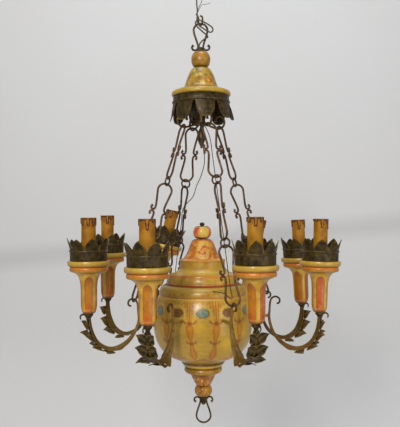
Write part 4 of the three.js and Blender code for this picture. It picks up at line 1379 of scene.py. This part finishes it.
def candlePaint(number):
    def paint(x, y, z):
        # The inner wall is painted dark as shade inside the sleeve
        if math.hypot(x, y) < candle["radius"] - 1.7:
            return tone(92, 62, 18)
        turn = math.degrees(math.atan2(y, x))
        drips = [dripDepth(turn + aside, number) for aside in (-4, 0, 4)]
        below = candle["height"] - z
        above = edge(below, min(drips) - 1.5, min(drips))
        outlined = above * (1 - edge(below, max(drips) + 0.6, max(drips) + 1.8))
        return painted(
            mix(tone(184, 132, 24), tone(160, 108, 14), edge(speckle(x, y, z, 16, number), -0.2, 0.4)),
            (0.6 * (1 - edge(below, 2, 16)), tone(150, 98, 18)), (0.92 * outlined, tone(78, 28, 10)),
            (0.8 * (1 - edge(below, 0.5, 2)), tone(96, 56, 16)),
        )

    return paint


candleBottom = cupTop + 2
for number in range(1, 9):
    makePiece(
        f"candle{number}", candleShape(number), cardCandle, f"candle_{number}", [f"candle_{number}"],
        paint=candlePaint(number), place=onCup(number, candleBottom, 0),
    )
print("candles made")

# Room and light, in metres

room = {
    "floor": -1.5, "wall": 1.5, "half": 4, "bend": 0.6, "top": 2.6, "near": -3.5, "sky": (0.93, 0.95, 1.0),
    "skyStrength": 0.38, "shadowSlope": -0.0825, "shadowStrength": 0.7,
}
lamps = {
    "lightKey": {
        "place": (-0.5, -2.1, 0.35), "target": (0, 0, -0.5), "size": 0.5, "energy": 34,
        "colour": (1.0, 0.97, 0.92),
    },
    "lightFill": {"place": (1.4, -1.6, -0.6), "target": (0, 0, -0.55), "size": 1.2, "energy": 11},
    "lightWall": {"place": (0.0, -0.5, 2.6), "target": (0, 1.5, -0.9), "size": 1.8, "energy": 55},
}


# A pale wall with one soft shadow line across it
def plainWall():
    plain = newMaterial("plainWall")
    tint = ramp(plain, grain(plain, 0.8, 2), (0.3, tone(207, 206, 204)), (0.7, tone(211, 211, 211)))
    spot = put(plain, "ShaderNodeTexCoord").outputs["Object"]
    parts = put(plain, "ShaderNodeSeparateXYZ", {"Vector": spot}).outputs
    sloped = {0: parts["X"], 1: room["shadowSlope"], 2: parts["Z"]}
    level = put(plain, "ShaderNodeMath", sloped, operation="MULTIPLY_ADD").outputs["Value"]
    height = put(plain, "ShaderNodeMath", {0: level, 1: 1.0}, operation="ADD").outputs["Value"]
    shadow = ramp(plain, height, (0.4, 1.0), (0.46, 0.8), (0.48, 0.8), (0.54, 1.0))
    tint = blend(plain, room["shadowStrength"], tint, shadow, "MULTIPLY")
    return dress(plain, Base_Color=tint, Roughness=0.9, Specular_IOR_Level=0.1)


def makeRoom():
    floor, wall, bend = room["floor"], room["wall"], room["bend"]
    side = [
        (room["near"], floor), *arc(wall - bend, floor + bend, bend, bend, -90, 0, 12), (wall, room["top"]),
    ]
    vertices = [Vector((x, y, z)) for x in (-room["half"], room["half"]) for y, z in side]
    count = len(side)
    faces = [(i, i + count, i + count + 1, i + 1) for i in range(count - 1)]
    mesh = bpy.data.meshes.new("backdrop")
    mesh.from_pydata(vertices, [], faces)
    mesh.shade_smooth()
    mesh.materials.append(plainWall())
    backdrop = bpy.data.objects.new("backdrop", mesh)
    bpy.context.scene.collection.objects.link(backdrop)


def makeLight(name, place, target, size, energy, colour=(1, 1, 1)):
    lamp = bpy.data.lights.new(name, "AREA")
    lamp.shape = "DISK"
    lamp.size = size
    lamp.energy = energy
    lamp.color = colour
    light = bpy.data.objects.new(name, lamp)
    light.location = place
    light.rotation_euler = (Vector(target) - Vector(place)).to_track_quat("-Z", "Y").to_euler()
    bpy.context.scene.collection.objects.link(light)


makeRoom()
for name, lamp in lamps.items():
    makeLight(name, **lamp)
world = bpy.data.worlds.new("softSky")
world.use_nodes = True
sky = world.node_tree.nodes["Background"]
sky.inputs["Color"].default_value = (*room["sky"], 1)
sky.inputs["Strength"].default_value = room["skyStrength"]
bpy.context.scene.world = world
bpy.context.scene.view_settings.view_transform = "Standard"
print("room and lights made")
